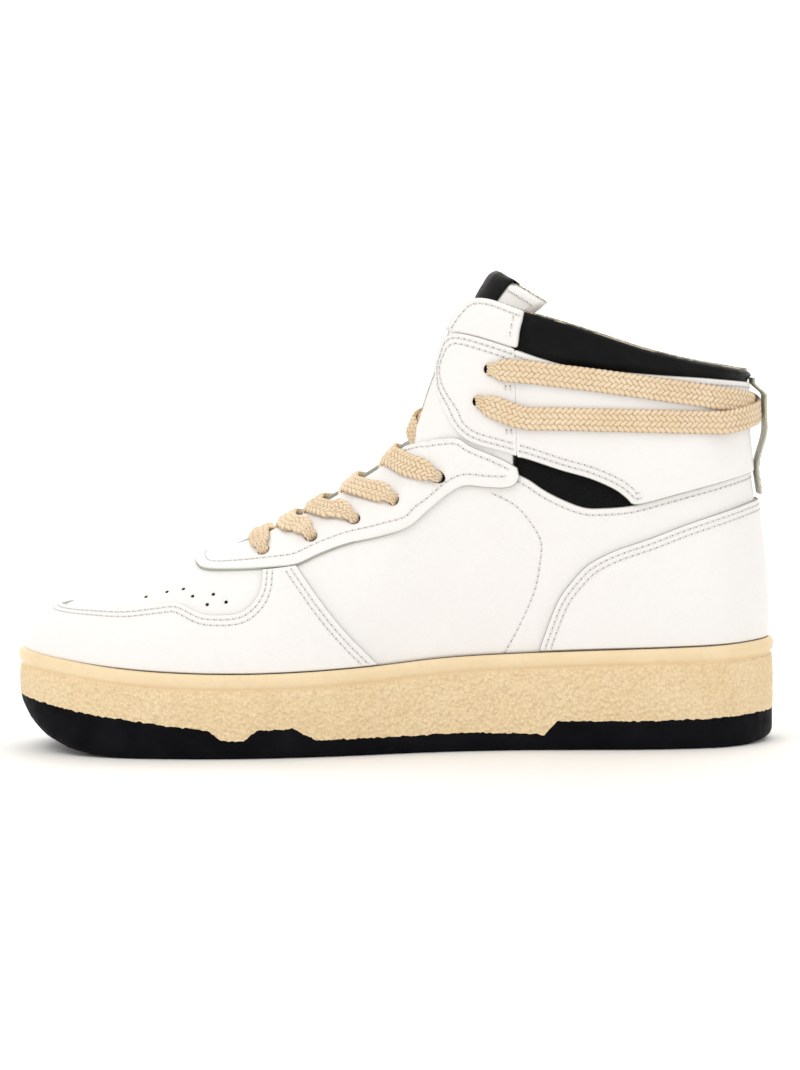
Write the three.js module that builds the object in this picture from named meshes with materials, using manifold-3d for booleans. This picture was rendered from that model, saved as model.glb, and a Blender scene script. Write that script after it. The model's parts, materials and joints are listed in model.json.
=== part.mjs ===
// Basketball high top, right foot, EU 42: a laced leather upper on a rubber cup sole.
// Millimetres. The toe points to -X, the heel to +X, the big-toe side is -Y, up is +Z.
// The shoe stands on the plane z = 0 and its sole is centred on the origin.
//
// The upper is one smooth surface S(t, h): t runs once around the shoe (one unit per station,
// heel centre = 0, big-toe side first) and h runs from the sole (0) to the top edge (1).
// Every leather piece is a layer of that surface, cut out with an outline seen from the side.
import * as THREE from 'three';
import Module from 'manifold-3d';

const wasm = await Module();
wasm.setup();

// ---------- driving dimensions ----------
const GAP = 0.3;              // air between two pieces that touch in the real shoe
const LEATHER = 1.4;          // quarters and toe box
const OVERLAY = 1.4;          // pieces stitched on top of them
const BACKING = 1.5;          // stiffeners and foam between leather and lining
const LINING = 1.5;
const COLLAR_PAD = 6.5;       // extra foam inside the ankle collar
const COLLAR_START = 0.56;    // share of the height where that foam begins
const UPPER_INSET = 5.2;      // the upper stands this far inside the edge of the sole
const MARGIN = 9;             // upper leather tucked down inside the cup sole
const FLOOR_GAP = 3;          // rubber left over the outsole line under the foam
const BEAD = 6;               // height of the rounded band along the top of the sole
const GROOVE = 0.9;           // depth of the groove under the band
const BOARD = 1.8;
const FOOTBED = 4;
const LACE_W = 8.4;
const LACE_T = 1.7;
const LACE_NECK = 4.4;        // the lace is pinched to this width inside a hole
const HOLE_R = 3.0;
const AGLET_L = 8;
const AGLET_R = 1.3;
const TONGUE_W = 25;          // half width over the instep
const TONGUE_TOP_W = 20.5;    // half width inside the collar
const TONGUE_FACE = 1.3;
const TONGUE_FOAM = 4;
const TONGUE_LINING = 1.2;
const TREAD = 1.4;            // depth of the outsole grooves
const LOOP_W = 16;            // webbing at the heel
const LOOP_T = 1.8;

// ---------- layers, measured outwards along the surface normal ----------
const BASE = [0, LEATHER];
const OVER = [LEATHER + GAP, LEATHER + GAP + OVERLAY];
const MID = [-GAP - BACKING, -GAP];
const LINE = [MID[0] - GAP - LINING, MID[0] - GAP];
const LACE_OVER = OVER[1] + GAP + LACE_T / 2 + 0.9;
const LACE_UNDER = LINE[0] - GAP - LACE_T / 2 - 1.2;   // flat lace under a curved wall

// ---------- the stations of the upper ----------
// sole edge x, y | top edge x, y, z | rise and bulge above the sole | handle at the top edge
const STATIONS = [
  [150, 0, 138.5, 0, 147, 42, 2.5, -5, 0, -34],
  [145, -17, 133, -18, 148, 42, 3, -2, 0.5, -34],
  [128, -33, 117, -29, 151, 40, 2, 0, 2.5, -36],
  [100, -38, 97, -33, 156, 40, 1, 2, 3, -38],
  [72, -37, 76, -34, 163, 42, 0, 0, 2, -42],
  [46, -36, 53, -32, 170, 44, 0, -6, 2, -46],
  [22, -38, 30, -22, 174, 40, 0, -10, -9, -50],
  [2, -42, 17, -18, 146, 34, 0, -2, -14, -36],
  [-16, -47, 6, -17, 118, 30, 0, -3, -18, -24],
  [-36, -51, -12, -17, 103, 26, 0, -6, -20, -16],
  [-58, -53.5, -30, -16, 92, 23, 0, -8, -21, -10],
  [-82, -52.5, -46, -13.5, 83.5, 22, 0, -12, -19, -7],
  [-106, -48, -55, -10, 79.5, 20, 0, -18, -15, -6],
  [-128, -38, -60, -6, 77.5, 18, 1, -26, -10, -7],
  [-144, -22, -62, -3, 76.8, 16, 1, -32, -5, -8],
  [-150, -2, -62.5, 0, 76.5, 16, 1, -34, 0, -8],
  [-143, 21, -62, 3, 76.8, 16, 1, -32, 5, -8],
  [-125, 39, -60, 6, 77.5, 18, 1, -26, 10, -7],
  [-100, 51, -55, 10, 79.5, 20, 0, -18, 15, -6],
  [-74, 57, -46, 13.5, 83.5, 21, 0, -12, 20, -7],
  [-48, 58.5, -30, 16, 92, 22, 0, -8, 23, -10],
  [-24, 57, -12, 17, 103, 25, 0, -6, 22, -16],
  [-2, 54, 6, 17, 118, 29, 0, -3, 19, -24],
  [18, 50.5, 17, 18, 146, 33, 0, -2, 15, -36],
  [36, 47, 30, 22, 174, 38, 0, -10, 9, -50],
  [56, 44.5, 53, 32, 170, 42, 0, -6, -2, -46],
  [78, 42, 76, 34, 163, 42, 0, 0, -2, -42],
  [102, 39.5, 97, 33, 156, 40, 1, 2, -3, -38],
  [127, 33, 117, 29, 151, 40, 2, 0, -2.5, -36],
  [145, 17, 133, 18, 148, 42, 3, -2, -0.5, -34],
];
const COUNT = STATIONS.length;

// ---------- long side-view curves, as (x, z) ----------
const RIM = [[-151, 40], [-130, 37.5], [-110, 35], [-85, 33.2], [-60, 32.6], [-35, 33],
  [-10, 34.3], [20, 36.8], [50, 38], [90, 39.2], [125, 40], [151, 41]];
const GROUND = [[-151, 19.5], [-145, 12], [-137, 6.6], [-128, 2.8], [-118, 0.7], [-108, 0],
  [0, 0], [140, 0], [151, 1.5]];
const COLOUR_LINE = [[-160, 22], [-150, 21.8], [-138, 20], [-117, 16.6], [-97, 14.2], [-78, 12.1],
  [-73, 11.4], [-67.5, 7.6], [-59, 7], [-54, 11.1], [-40, 11.5], [-31, 6.9], [0, 7], [28, 7.6],
  [57, 6.4], [62, 11.6], [100, 11.5], [135, 12.3], [160, 13]];
const CUP_FLOOR = COLOUR_LINE.map(([x, z]) => [x, Math.max(z, 11.6) + FLOOR_GAP]);

// ---------- the seams, as (x, z) ----------
const TOE_SEAM = [[-160, 56], [-129.5, 56.4], [-115.6, 58.4], [-103.5, 59.4], [-91.5, 60.8],
  [-84.3, 61.3], [-79.4, 59.5], [-74.3, 56.7], [-67.7, 56], [-60, 56.3], [-54.7, 59.5],
  [-51.4, 64], [-51, 71]];
const EYESTAY_EDGE = [[-81, 74.5], [-79, 72.3], [-74, 69.8], [-60, 70.2], [-43, 71.8], [-37, 72.9],
  [-29, 76.5], [-18, 80.5], [-4, 83.8], [5.6, 87.6], [13.6, 94.3], [21, 100.2], [27, 103],
  [35, 102.4], [43, 102.2], [47, 103.8], [48.8, 107.4]];
const EYESTAY_BACK = [[47.6, 110], [43.8, 112.4], [37, 115.5], [29.2, 118.6], [24.9, 121.6],
  [17.8, 120.9], [10, 118.6], [2, 116.4]];
const MUDGUARD_REAR = [[-37.8, 71], [-29.2, 59.9], [-19.7, 47.8], [-8.4, 36]];
const QUARTER_TOP = [[48, 107.4], [52.5, 105], [58.3, 101], [65.7, 97.2], [73.7, 94.3],
  [81.1, 94.1], [88.9, 94.6], [95, 95.1], [110, 98.6], [126, 102.6], [137, 105.4], [165, 112]];
const PANEL_LOW = [[52.3, 113.1], [64.1, 109.1], [75.7, 105.6], [84.9, 101.4], [89.9, 97.6],
  [93.5, 95.3], [110, 99.2], [126, 103.2], [137, 106], [165, 112.6]];
const PANEL_TOP = [[165, 138], [141, 141.5], [120, 144], [102.8, 145.4], [83.6, 147.2],
  [69.9, 148.8], [58.6, 151.9], [48.5, 155.4]];
const FLAP_LOW = [[14, 131], [20, 127], [23.7, 123.2], [29.3, 120.2], [40.7, 116.7], [47, 114.8]];
const FLAP_TOP = [[47, 156], [33.8, 160], [22.4, 162.2], [10, 163.5]];
const HEEL_EDGE = [[54, 30], [55.2, 38], [58.9, 48.7], [63.3, 59.1], [69.4, 67.1], [74.9, 72.5],
  [84.8, 77.6], [98.6, 82.3], [113.9, 87.9], [130.4, 92.9], [141, 95.6], [165, 99]];
const COUNTER_EDGE = [[88, 20], [92, 52], [104, 68], [122, 77], [140, 81], [165, 83]];
const FLAP_X = 47;            // seam between the front flap and the rear collar panel
const PUFF_X = -86;           // rear edge of the toe stiffener
const VAMP_X = -70;           // front edge of the quarters, hidden under the toe guard
const TOE_OVERLAP = 8;        // the toe box runs this far under the toe guard
const TOE_REAR = -44;

// ---------- the tongue: centre line of its face x, z | half width | depth of its arch ----------
const TONGUE = [[-66, 70.6, 16, 5], [-54, 73.2, 20, 11.8], [-40, 80.5, 23, 17.8], [-24, 90.3, TONGUE_W, 22],
  [-7, 100.9, TONGUE_W, 23.4], [7.5, 111.5, TONGUE_W, 23], [15, 123.6, 24, 21], [16.6, 129.6, 23, 20],
  [19.6, 140, 22, 20], [22.6, 152, 21, 20], [27, 164, TONGUE_TOP_W, 21],
  [33.8, 177, TONGUE_TOP_W, 22], [39.6, 186.4, TONGUE_TOP_W, 23]];
const TONGUE_BEND = 7;        // number of the section the tongue flexes at
const TONGUE_WEDGE = 9;       // degrees each half is cut back there, so the halves can lean together
const TONGUE_SPREAD = 72;     // degrees of arch either side of the centre

// ---------- holes, as side-view (x, z); the tags say where the lace uses them ----------
const ROWS = [[-50.5, 76.8], [-32.1, 82.5], [-15.6, 89.5], [0.4, 96.9], [16.6, 106.6]];
const FLAP_HOLES = [[32.8, 135.6], [37.5, 148]];
// x on the throat edge where the lace lies on the eyestay, and where it comes out from under it
const LACE_ON = [-52, -41, -30, -15.5, 0.5, 12];
const LACE_OUT = [-46, -35, -21, -5, 7];
const VENTS = [[-126, 62], [-97, 60.6 + 4], [-88.7, 66], [-82.2, 65.2], [-70.3, 63.6], [-65.3, 61.5]];

const COLOURS = {
  white: ['#ece8e4', 0.5], cream: ['#e6dcc8', 0.62], black: ['#1c1b1d', 0.7],
  rubber: ['#161617', 0.8], foam: ['#d9d4c6', 0.9], board: ['#b09a78', 0.9],
  terry: ['#b9a58e', 0.95], backing: ['#c9ccc4', 0.9], lace: ['#e2d6bf', 0.85],
};

// ---------- small maths ----------
const clamp = (v, a, b) => Math.min(b, Math.max(a, v));
const smooth = (a, b, v) => {
  const s = clamp((v - a) / (b - a), 0, 1);
  return s * s * (3 - 2 * s);
};

function along(curve, x) {
  // height of a side-view curve at x, with straight runs between its points
  let i = 0;
  while (i < curve.length - 2 && curve[i + 1][0] < x) {
    i += 1;
  }
  const [x0, z0] = curve[i];
  const [x1, z1] = curve[i + 1];
  return z0 + (z1 - z0) * clamp((x - x0) / (x1 - x0), 0, 1);
}

function station(t) {
  // Catmull-Rom through the stations, closed around the shoe
  const i = Math.floor(t);
  const f = t - i;
  const at = (k) => STATIONS[((k % COUNT) + COUNT) % COUNT];
  const [a, b, c, d] = [at(i - 1), at(i), at(i + 1), at(i + 2)];
  return a.map((_, k) => 0.5 * (2 * b[k] + (c[k] - a[k]) * f
    + (2 * a[k] - 5 * b[k] + 4 * c[k] - d[k]) * f * f
    + (3 * b[k] - a[k] - 3 * c[k] + d[k]) * f * f * f));
}

function edgeNormal(t) {
  const p = station(t - 0.001);
  const q = station(t + 0.001);
  return new THREE.Vector2(-(q[1] - p[1]), q[0] - p[0]).normalize();
}

function solePoint(t, inset) {
  const s = station(t);
  const n = edgeNormal(t);
  return new THREE.Vector2(s[0] - n.x * inset, s[1] - n.y * inset);
}

function surface(t, h) {
  const s = station(t);
  const n = edgeNormal(t);
  const foot = solePoint(t, UPPER_INSET);
  const p0 = new THREE.Vector3(foot.x, foot.y, along(RIM, foot.x));
  const p1 = new THREE.Vector3(p0.x + n.x * s[6], p0.y + n.y * s[6], p0.z + s[5]);
  const p3 = new THREE.Vector3(s[2], s[3], s[4]);
  const p2 = new THREE.Vector3(s[2] + s[7], s[3] + s[8], s[4] + s[9]);
  if (h < 0) {
    // below the rim the leather carries straight on down into the cup
    return p0.clone().lerp(p1, (h * MARGIN) / s[5]);
  }
  const u = 1 - h;
  return p0.multiplyScalar(u * u * u)
    .addScaledVector(p1, 3 * u * u * h)
    .addScaledVector(p2, 3 * u * h * h)
    .addScaledVector(p3, h * h * h);
}

function normal(t, h) {
  const g = clamp(h, 0, 1);
  const a = surface(t + 0.001, g).sub(surface(t - 0.001, g));
  const b = surface(t, Math.min(g + 0.001, 1)).sub(surface(t, Math.max(g - 0.001, 0)));
  return b.cross(a).normalize();
}

function offset(t, h, d) {
  return surface(t, h).addScaledVector(normal(t, h), d);
}

function padding(t, h) {
  // how much the ankle collar thickens inwards at this place
  const away = Math.min(((t % COUNT) + COUNT) % COUNT, (((COUNT - t) % COUNT) + COUNT) % COUNT);
  const rise = smooth(COLLAR_START, 0.86, h) * (1 - 0.35 * smooth(0.93, 1, h));
  return COLLAR_PAD * rise * (1 - smooth(4.2, 5.4, away));
}

// ---------- solids ----------
function toManifold(positions, index) {
  return new wasm.Manifold(new wasm.Mesh({
    numProp: 3,
    vertProperties: new Float32Array(positions),
    triVerts: new Uint32Array(index),
  }));
}

function signedVolume(positions, index) {
  const v = (k) => new THREE.Vector3(...positions.slice(3 * k, 3 * k + 3));
  let sum = 0;
  for (let i = 0; i < index.length; i += 3) {
    sum += v(index[i]).dot(v(index[i + 1]).cross(v(index[i + 2])));
  }
  return sum;
}

function solidFrom(points, index) {
  const positions = points.flatMap((p) => [p.x, p.y, p.z]);
  if (signedVolume(positions, index) < 0) {
    for (let i = 0; i < index.length; i += 3) {
      [index[i + 1], index[i + 2]] = [index[i + 2], index[i + 1]];
    }
  }
  return toManifold(positions, index);
}

function skin(rings, wrapRings, turn = Infinity) {
  // rings of equal length joined by quads; wrapRings closes last to first, else both ends are capped.
  // From point number turn on, a ring runs back the way it came, so its quads are split the
  // other way: the two faces of a layer then keep parallel facets.
  const n = rings[0].length;
  const m = rings.length;
  const index = [];
  for (let j = 0; j < (wrapRings ? m : m - 1); j += 1) {
    for (let i = 0; i < n; i += 1) {
      const a = j * n + i;
      const b = j * n + ((i + 1) % n);
      const c = ((j + 1) % m) * n + ((i + 1) % n);
      const d = ((j + 1) % m) * n + i;
      index.push(...(i < turn ? [a, b, c, a, c, d] : [a, b, d, b, c, d]));
    }
  }
  return { points: rings.flat(), index, n, m };
}

function capByPairs(s, ring, flip) {
  // cap of a ring that mirrors about its first point: i is paired with n - i
  const at = (i) => ring * s.n + ((i + s.n) % s.n);
  const half = Math.floor(s.n / 2);
  for (let i = 0; i < half; i += 1) {
    const [a, b, c, d] = [at(i), at(i + 1), at(s.n - i - 1), at(s.n - i)];
    const quad = i === 0 ? [a, b, c] : [a, b, c, a, c, d];
    const tris = b === c ? [a, b, d] : quad;
    s.index.push(...(flip ? tris.slice().reverse() : tris));
  }
}

function capByFan(s, ring, flip) {
  // cap of a small convex ring
  for (let i = 1; i < s.n - 1; i += 1) {
    const tri = [ring * s.n, ring * s.n + i, ring * s.n + i + 1];
    s.index.push(...(flip ? tri.reverse() : tri));
  }
}

// columns around the shoe and rows up it, shared by every layer so their facets stay parallel
const HALF = [0.75, 1.5, 2.25, 3.2, 4.2, 5, 5.75, 6.4, 7, 7.5, 8, 8.6, 9.4, 10.2, 11.1, 12, 12.8,
  13.5, 14.2];
const ORDER = [0, ...HALF, COUNT / 2, ...HALF.map((t) => COUNT - t).reverse()];
const LEVELS = [0, 0.17, 0.33, 0.48, 0.62, 0.75, 0.88, 1];

function layer([inner, outer], low = 0, padInner = false, padOuter = false) {
  // closed band of leather between two offsets; low < 0 adds the tucked margin
  const levels = low < 0 ? [low, ...LEVELS] : LEVELS;
  const ring = (t) => {
    const inside = levels.map((h) => offset(t, h, inner - (padInner ? padding(t, h) : 0)));
    const outside = levels.map((h) => offset(t, h, outer - (padOuter ? padding(t, h) : 0)));
    return [...outside, ...inside.reverse()];
  };
  const s = skin(ORDER.map(ring), true, levels.length);
  return solidFrom(s.points, s.index);
}

function offsetOutline(outline, grow) {
  const area = outline.reduce((sum, [x, z], i) => {
    const [x2, z2] = outline[(i + 1) % outline.length];
    return sum + x * z2 - x2 * z;
  }, 0);
  const side = area > 0 ? 1 : -1;
  return outline.map(([x, z], i) => {
    const [px, pz] = outline[(i + outline.length - 1) % outline.length];
    const [nx, nz] = outline[(i + 1) % outline.length];
    const a = new THREE.Vector2(z - pz, px - x).normalize();
    const b = new THREE.Vector2(nz - z, x - nx).normalize();
    const m = a.clone().add(b).normalize();
    const k = (side * grow) / Math.max(0.35, m.dot(a));
    return [x + m.x * k, z + m.y * k];
  });
}

function prism(outline, side = 0, grow = 0) {
  // a side-view outline pushed across the shoe; side -1 is the big-toe side, +1 the other
  const pts = (grow ? offsetOutline(outline, grow) : outline).map(([x, z]) => new THREE.Vector2(x, z));
  const depth = side === 0 ? 200 : 100;
  const geometry = new THREE.ExtrudeGeometry(new THREE.Shape(pts), {
    depth, bevelEnabled: false, curveSegments: 1,
  });
  // extruded along +Z, then stood up: shape y becomes z, depth runs towards -Y
  geometry.rotateX(Math.PI / 2);
  const start = { '-1': -GAP / 2, 0: 100, 1: 100 + GAP / 2 }[side];
  geometry.translate(0, start, 0);
  return weld(geometry);
}

function weld(geometry) {
  const p = geometry.attributes.position;
  const points = [];
  const index = [];
  const seen = new Map();
  const count = geometry.index ? geometry.index.count : p.count;
  for (let i = 0; i < count; i += 1) {
    const k = geometry.index ? geometry.index.getX(i) : i;
    const v = new THREE.Vector3().fromBufferAttribute(p, k);
    const key = v.toArray().map((c) => Math.round(c * 1e4)).join();
    if (!seen.has(key)) {
      seen.set(key, points.length);
      points.push(v);
    }
    index.push(seen.get(key));
  }
  const clean = [];
  for (let i = 0; i < index.length; i += 3) {
    const [a, b, c] = index.slice(i, i + 3);
    if (a !== b && b !== c && c !== a) {
      clean.push(a, b, c);
    }
  }
  return solidFrom(points, clean);
}

function rod(from, to, radius, sides = 8) {
  const length = from.distanceTo(to);
  const geometry = new THREE.CylinderGeometry(radius, radius, length, sides);
  geometry.applyQuaternion(new THREE.Quaternion().setFromUnitVectors(
    new THREE.Vector3(0, 1, 0), to.clone().sub(from).normalize()));
  geometry.translate((from.x + to.x) / 2, (from.y + to.y) / 2, (from.z + to.z) / 2);
  return weld(geometry);
}

function largest(solid) {
  // slivers left where an outline only just touches the edge of a layer are dropped
  const bodies = solid.decompose();
  bodies.sort((a, b) => b.volume() - a.volume());
  return bodies[0];
}

const group = new THREE.Group();
group.name = 'basketball_high_top';

function add(name, solid, colour) {
  const whole = largest(solid);
  const mesh = whole.getMesh();
  const geometry = new THREE.BufferGeometry();
  const positions = new Float32Array(mesh.numVert * 3);
  for (let i = 0; i < mesh.numVert; i += 1) {
    positions.set(mesh.vertProperties.subarray(i * mesh.numProp, i * mesh.numProp + 3), 3 * i);
  }
  geometry.setAttribute('position', new THREE.BufferAttribute(positions, 3));
  geometry.setIndex(new THREE.BufferAttribute(new Uint32Array(mesh.triVerts), 1));
  const [color, roughness] = COLOURS[colour];
  const node = new THREE.Mesh(geometry, new THREE.MeshStandardMaterial({
    color, roughness, metalness: 0,
  }));
  node.name = name;
  group.add(node);
}

// ---------- where a side-view point lies on the upper ----------
function locate(x, z, side) {
  // coarse search, then halving steps
  let best = { d: Infinity, t: 0, h: 0 };
  const first = side < 0 ? 0 : 15;
  const test = (t, h) => {
    const p = surface(t, clamp(h, 0, 1));
    const d = Math.hypot(p.x - x, p.z - z);
    if (d < best.d) {
      best = { d, t, h: clamp(h, 0, 1) };
    }
  };
  for (let t = first; t <= first + 15; t += 0.25) {
    for (let h = 0; h <= 1; h += 0.05) {
      test(t, h);
    }
  }
  for (let step = 0.125; step > 0.002; step /= 2) {
    const { t, h } = best;
    for (const [dt, dh] of [[1, 0], [-1, 0], [0, 1], [0, -1], [1, 1], [-1, -1], [1, -1], [-1, 1]]) {
      test(t + dt * step, h + dh * step * 0.3);
    }
  }
  return best;
}

// ---------- the sole ----------
function soleRing(inset, height) {
  return ORDER.map((t) => {
    const p = solePoint(t, inset);
    return new THREE.Vector3(p.x, p.y, height(p.x));
  });
}

function block(rings) {
  const s = skin(rings, false);
  capByPairs(s, 0, true);
  capByPairs(s, rings.length - 1, false);
  return solidFrom(s.points, s.index);
}

function wholeSole() {
  const rim = (drop) => (x) => along(RIM, x) - drop;
  const ground = (lift) => (x) => along(GROUND, x) + lift;
  return block([
    soleRing(4.5, ground(0)),
    soleRing(1.6, ground(1)),
    soleRing(0.7, ground(3.6)),
    soleRing(0.6, rim(BEAD + 1.6)),
    soleRing(0.6 + GROOVE, rim(BEAD + 0.4)),
    soleRing(0.5, rim(BEAD - 0.9)),
    soleRing(0, rim(BEAD * 0.5)),
    soleRing(0.5, rim(0.8)),
    soleRing(1.8, rim(0)),
  ]);
}

function upperPlug(d, bottom, top) {
  // solid that fills the inside of the layer at offset d between two heights
  const ring = (h, height) => ORDER.map((t) => {
    const p = offset(t, h, d);
    return new THREE.Vector3(p.x, p.y, height(p.x));
  });
  return block([ring(bottom.h, bottom.z), ring(top.h, top.z)]);
}

const belowRim = (drop) => (x) => along(RIM, x) - drop;
const BOARD_UNDER = MARGIN + 0.9;

function sole() {
  const low = { h: -1, z: belowRim(BOARD_UNDER + GAP) };
  const high = { h: 0.05, z: belowRim(-4) };
  const cup = upperPlug(BASE[1] + GAP, low, high);
  const well = block([
    soleRing(UPPER_INSET + 3.2, (x) => along(CUP_FLOOR, x)),
    soleRing(UPPER_INSET + 3.2, belowRim(BOARD_UNDER - 1)),
  ]);
  const colour = [...COLOUR_LINE, [160, -20], [-160, -20]];
  const split = prism(colour);
  const whole = wholeSole();
  let outsole = whole.intersect(split);
  outsole = outsole.subtract(treads());
  const wall = whole.subtract(prism(colour, 0, GAP)).subtract(cup).subtract(well);
  add('outsole', outsole, 'rubber');
  add('cupsole', wall, 'cream');

  const foam = block([
    soleRing(UPPER_INSET + 3.2 + GAP, (x) => along(CUP_FLOOR, x) + GAP),
    soleRing(UPPER_INSET + 3.2 + GAP, belowRim(BOARD_UNDER + GAP)),
  ]);
  add('midsole_foam', foam, 'foam');
  const inner = LINE[0] - GAP;
  add('insole_board', upperPlug(inner, { h: -1, z: belowRim(BOARD_UNDER) },
    { h: -1, z: belowRim(BOARD_UNDER - BOARD) }), 'board');
  add('sockliner', upperPlug(inner - 0.4, { h: -0.8, z: belowRim(BOARD_UNDER - BOARD - GAP) },
    { h: -0.4, z: belowRim(BOARD_UNDER - BOARD - GAP - FOOTBED) }), 'foam');
}

function treads() {
  // chevron grooves across the forefoot and the heel, cut up from the ground
  const starts = [-96, -84, -72, -60, -48, -36, 66, 78, 90, 102, 114];
  const bars = starts.map((x) => {
    const arm = 9;
    const v = [[x, 0], [x + arm, 34], [x + arm + 3, 34], [x + 3, 0], [x + arm + 3, -34], [x + arm, -34]];
    const geometry = new THREE.ExtrudeGeometry(
      new THREE.Shape(v.map(([a, b]) => new THREE.Vector2(a, b))),
      { depth: TREAD + 5, bevelEnabled: false });
    geometry.translate(0, 0, -5);
    return weld(geometry);
  });
  return bars.reduce((a, b) => a.add(b));
}

// ---------- eyelet holes through every layer ----------
const eyelets = { '-1': [], 1: [] };
const flapEyelets = { '-1': [], 1: [] };
for (const side of [-1, 1]) {
  eyelets[side] = ROWS.map(([x, z]) => locate(x, z, side));
  flapEyelets[side] = FLAP_HOLES.map(([x, z]) => locate(x, z, side));
}

function boring(place, radius) {
  return rod(offset(place.t, place.h, LINE[0] - 2), offset(place.t, place.h, OVER[1] + 2), radius);
}

function allHoles() {
  const places = [-1, 1].flatMap((side) => [...eyelets[side], ...flapEyelets[side]]);
  return places.map((p) => boring(p, HOLE_R)).reduce((a, b) => a.add(b));
}

// ---------- the upper ----------
const RIM_LINE = RIM.map(([x, z]) => [x, z + GAP + 0.3]);
const UNDER_RIM = [[-160, 0], [160, 0]];
const lowFront = (points, x) => points.filter((p) => p[0] <= x);
const lowBack = (points, x) => points.filter((p) => p[0] >= x);

function outlines() {
  const eyestay = [...EYESTAY_EDGE, ...EYESTAY_BACK, [-10, 150], [-90, 150], [-90, 90]];
  const toeLow = TOE_SEAM.slice(0, -2).map(([x, z]) => [x, z - TOE_OVERLAP]);
  const toeBox = [...toeLow, [TOE_REAR - 3, 56], [TOE_REAR, 66], [TOE_REAR, 130], [-160, 130]];
  const mudguard = [
    ...TOE_SEAM,
    ...MUDGUARD_REAR,
    [-8, along(RIM_LINE, -8)],
    ...lowFront(RIM_LINE, -9).reverse(),
    [-160, along(RIM_LINE, -151)],
  ];
  const quarter = [
    [VAMP_X, 0], [165, 0], ...QUARTER_TOP.slice().reverse(), [44.5, 109.6], [36.5, 113],
    [28.5, 116], [22, 118], [14, 117.6], [6, 115.4], [-6, 130], [VAMP_X, 130],
  ];
  const heel = [
    [165, along(RIM_LINE, 151)], ...lowBack(RIM_LINE, 56).reverse(),
    [54.8, along(RIM_LINE, 54.8)], ...HEEL_EDGE.slice(2),
  ];
  const panel = [[FLAP_X + GAP, 114.9], ...PANEL_LOW, ...PANEL_TOP.slice(0, -1),
    [FLAP_X + GAP, 155.9]];
  const flap = [...FLAP_LOW, ...FLAP_TOP];
  const tab = [[10, 164], ...FLAP_TOP.slice(0, -1).reverse().map(([x, z]) => [x, z + GAP]),
    [48.2, 156.1], [49.3, 163.2], [51.2, 170.4], [52, 190], [10, 190]];
  return { eyestay, toeBox, mudguard, quarter, heel, panel, flap, tab };
}

function upper() {
  const o = outlines();
  const holes = allHoles();
  const base = layer(BASE, -1).subtract(holes);
  const over = layer(OVER).subtract(holes);
  const middle = layer(MID, -1, true).subtract(holes);
  const lining = layer(LINE, -1, true, true).subtract(holes);
  const both = (name, cut, colour) => {
    add(`${name}_medial`, cut(-1), colour);
    add(`${name}_lateral`, cut(1), colour);
  };

  // inside: one lining, and the stiffeners and foam behind the leather
  add('lining', lining, 'terry');
  add('toe_puff', middle.intersect(prism([[-160, 0], [PUFF_X, 0], [PUFF_X, 57], [-100, 60],
    [-130, 56], [-160, 56]])), 'backing');
  const counter = [...COUNTER_EDGE, [165, 0], [88, 0]];
  add('heel_counter', middle.intersect(prism(counter)), 'backing');
  const stay = [...EYESTAY_EDGE.slice(1, -1).map(([x, z]) => [x, z + 1.5]), [44, 110],
    [26, 117], [8, 114], [-10, 150], [-90, 150], [-90, 90]];
  add('eyestay_backing', middle.intersect(prism(stay)), 'backing');
  const foam = [[48, 104], [60, 88], [100, 86], [165, 90], [165, 200], [48, 200]];
  add('collar_padding', middle.intersect(prism(foam)), 'foam');

  // leather next to the foot
  const vents = VENTS.flatMap(([x, z]) => [-1, 1].map((side) => {
    const place = locate(x, z, side);
    return rod(offset(place.t, place.h, -1), offset(place.t, place.h, 3), 0.9, 6);
  }));
  add('toe_box', vents.reduce((s, v) => s.subtract(v), base.intersect(prism(o.toeBox))), 'white');
  both('quarter', (side) => base.intersect(prism(o.quarter, side))
    .subtract(prism(o.toeBox, 0, GAP)), 'white');
  const above = base.subtract(prism(o.quarter, 0, GAP)).subtract(prism(o.toeBox, 0, GAP));
  const front = [[0, 100], [46, 100], [46, 200], [0, 200]];
  const window = [[46 + GAP, 90], [99, 90], [99, 122], [46 + GAP, 128]];
  both('flap_backing', (side) => above.intersect(prism(front, side)), 'backing');
  both('flex_insert', (side) => above.intersect(prism(window, side)), 'black');
  add('collar_shell', above.subtract(prism(front, 0, GAP)).subtract(prism(window, 0, GAP)), 'black');

  // pieces stitched on top
  add('eyestay', over.intersect(prism(o.eyestay)), 'white');
  add('mudguard', over.intersect(prism(o.mudguard)).subtract(prism(o.eyestay, 0, GAP)), 'white');
  add('heel_overlay', over.intersect(prism(o.heel)), 'white');
  both('collar_panel', (side) => over.intersect(prism(o.panel, side)), 'white');
  both('ankle_flap', (side) => over.intersect(prism(o.flap, side)), 'white');
  both('collar_tab', (side) => over.intersect(prism(o.tab, side)), 'white');
}

// ---------- strips and bands with two open ends ----------
function band(rings, half) {
  // each ring is an outward face followed by the same number of points running back
  const s = skin(rings, false, half);
  for (let i = 0; i < half - 1; i += 1) {
    const quad = [i, i + 1, s.n - 2 - i, s.n - 1 - i];
    const last = quad.map((k) => k + (s.m - 1) * s.n);
    s.index.push(quad[0], quad[2], quad[1], quad[0], quad[3], quad[2]);
    s.index.push(last[0], last[1], last[2], last[0], last[2], last[3]);
  }
  return solidFrom(s.points, s.index);
}

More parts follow.
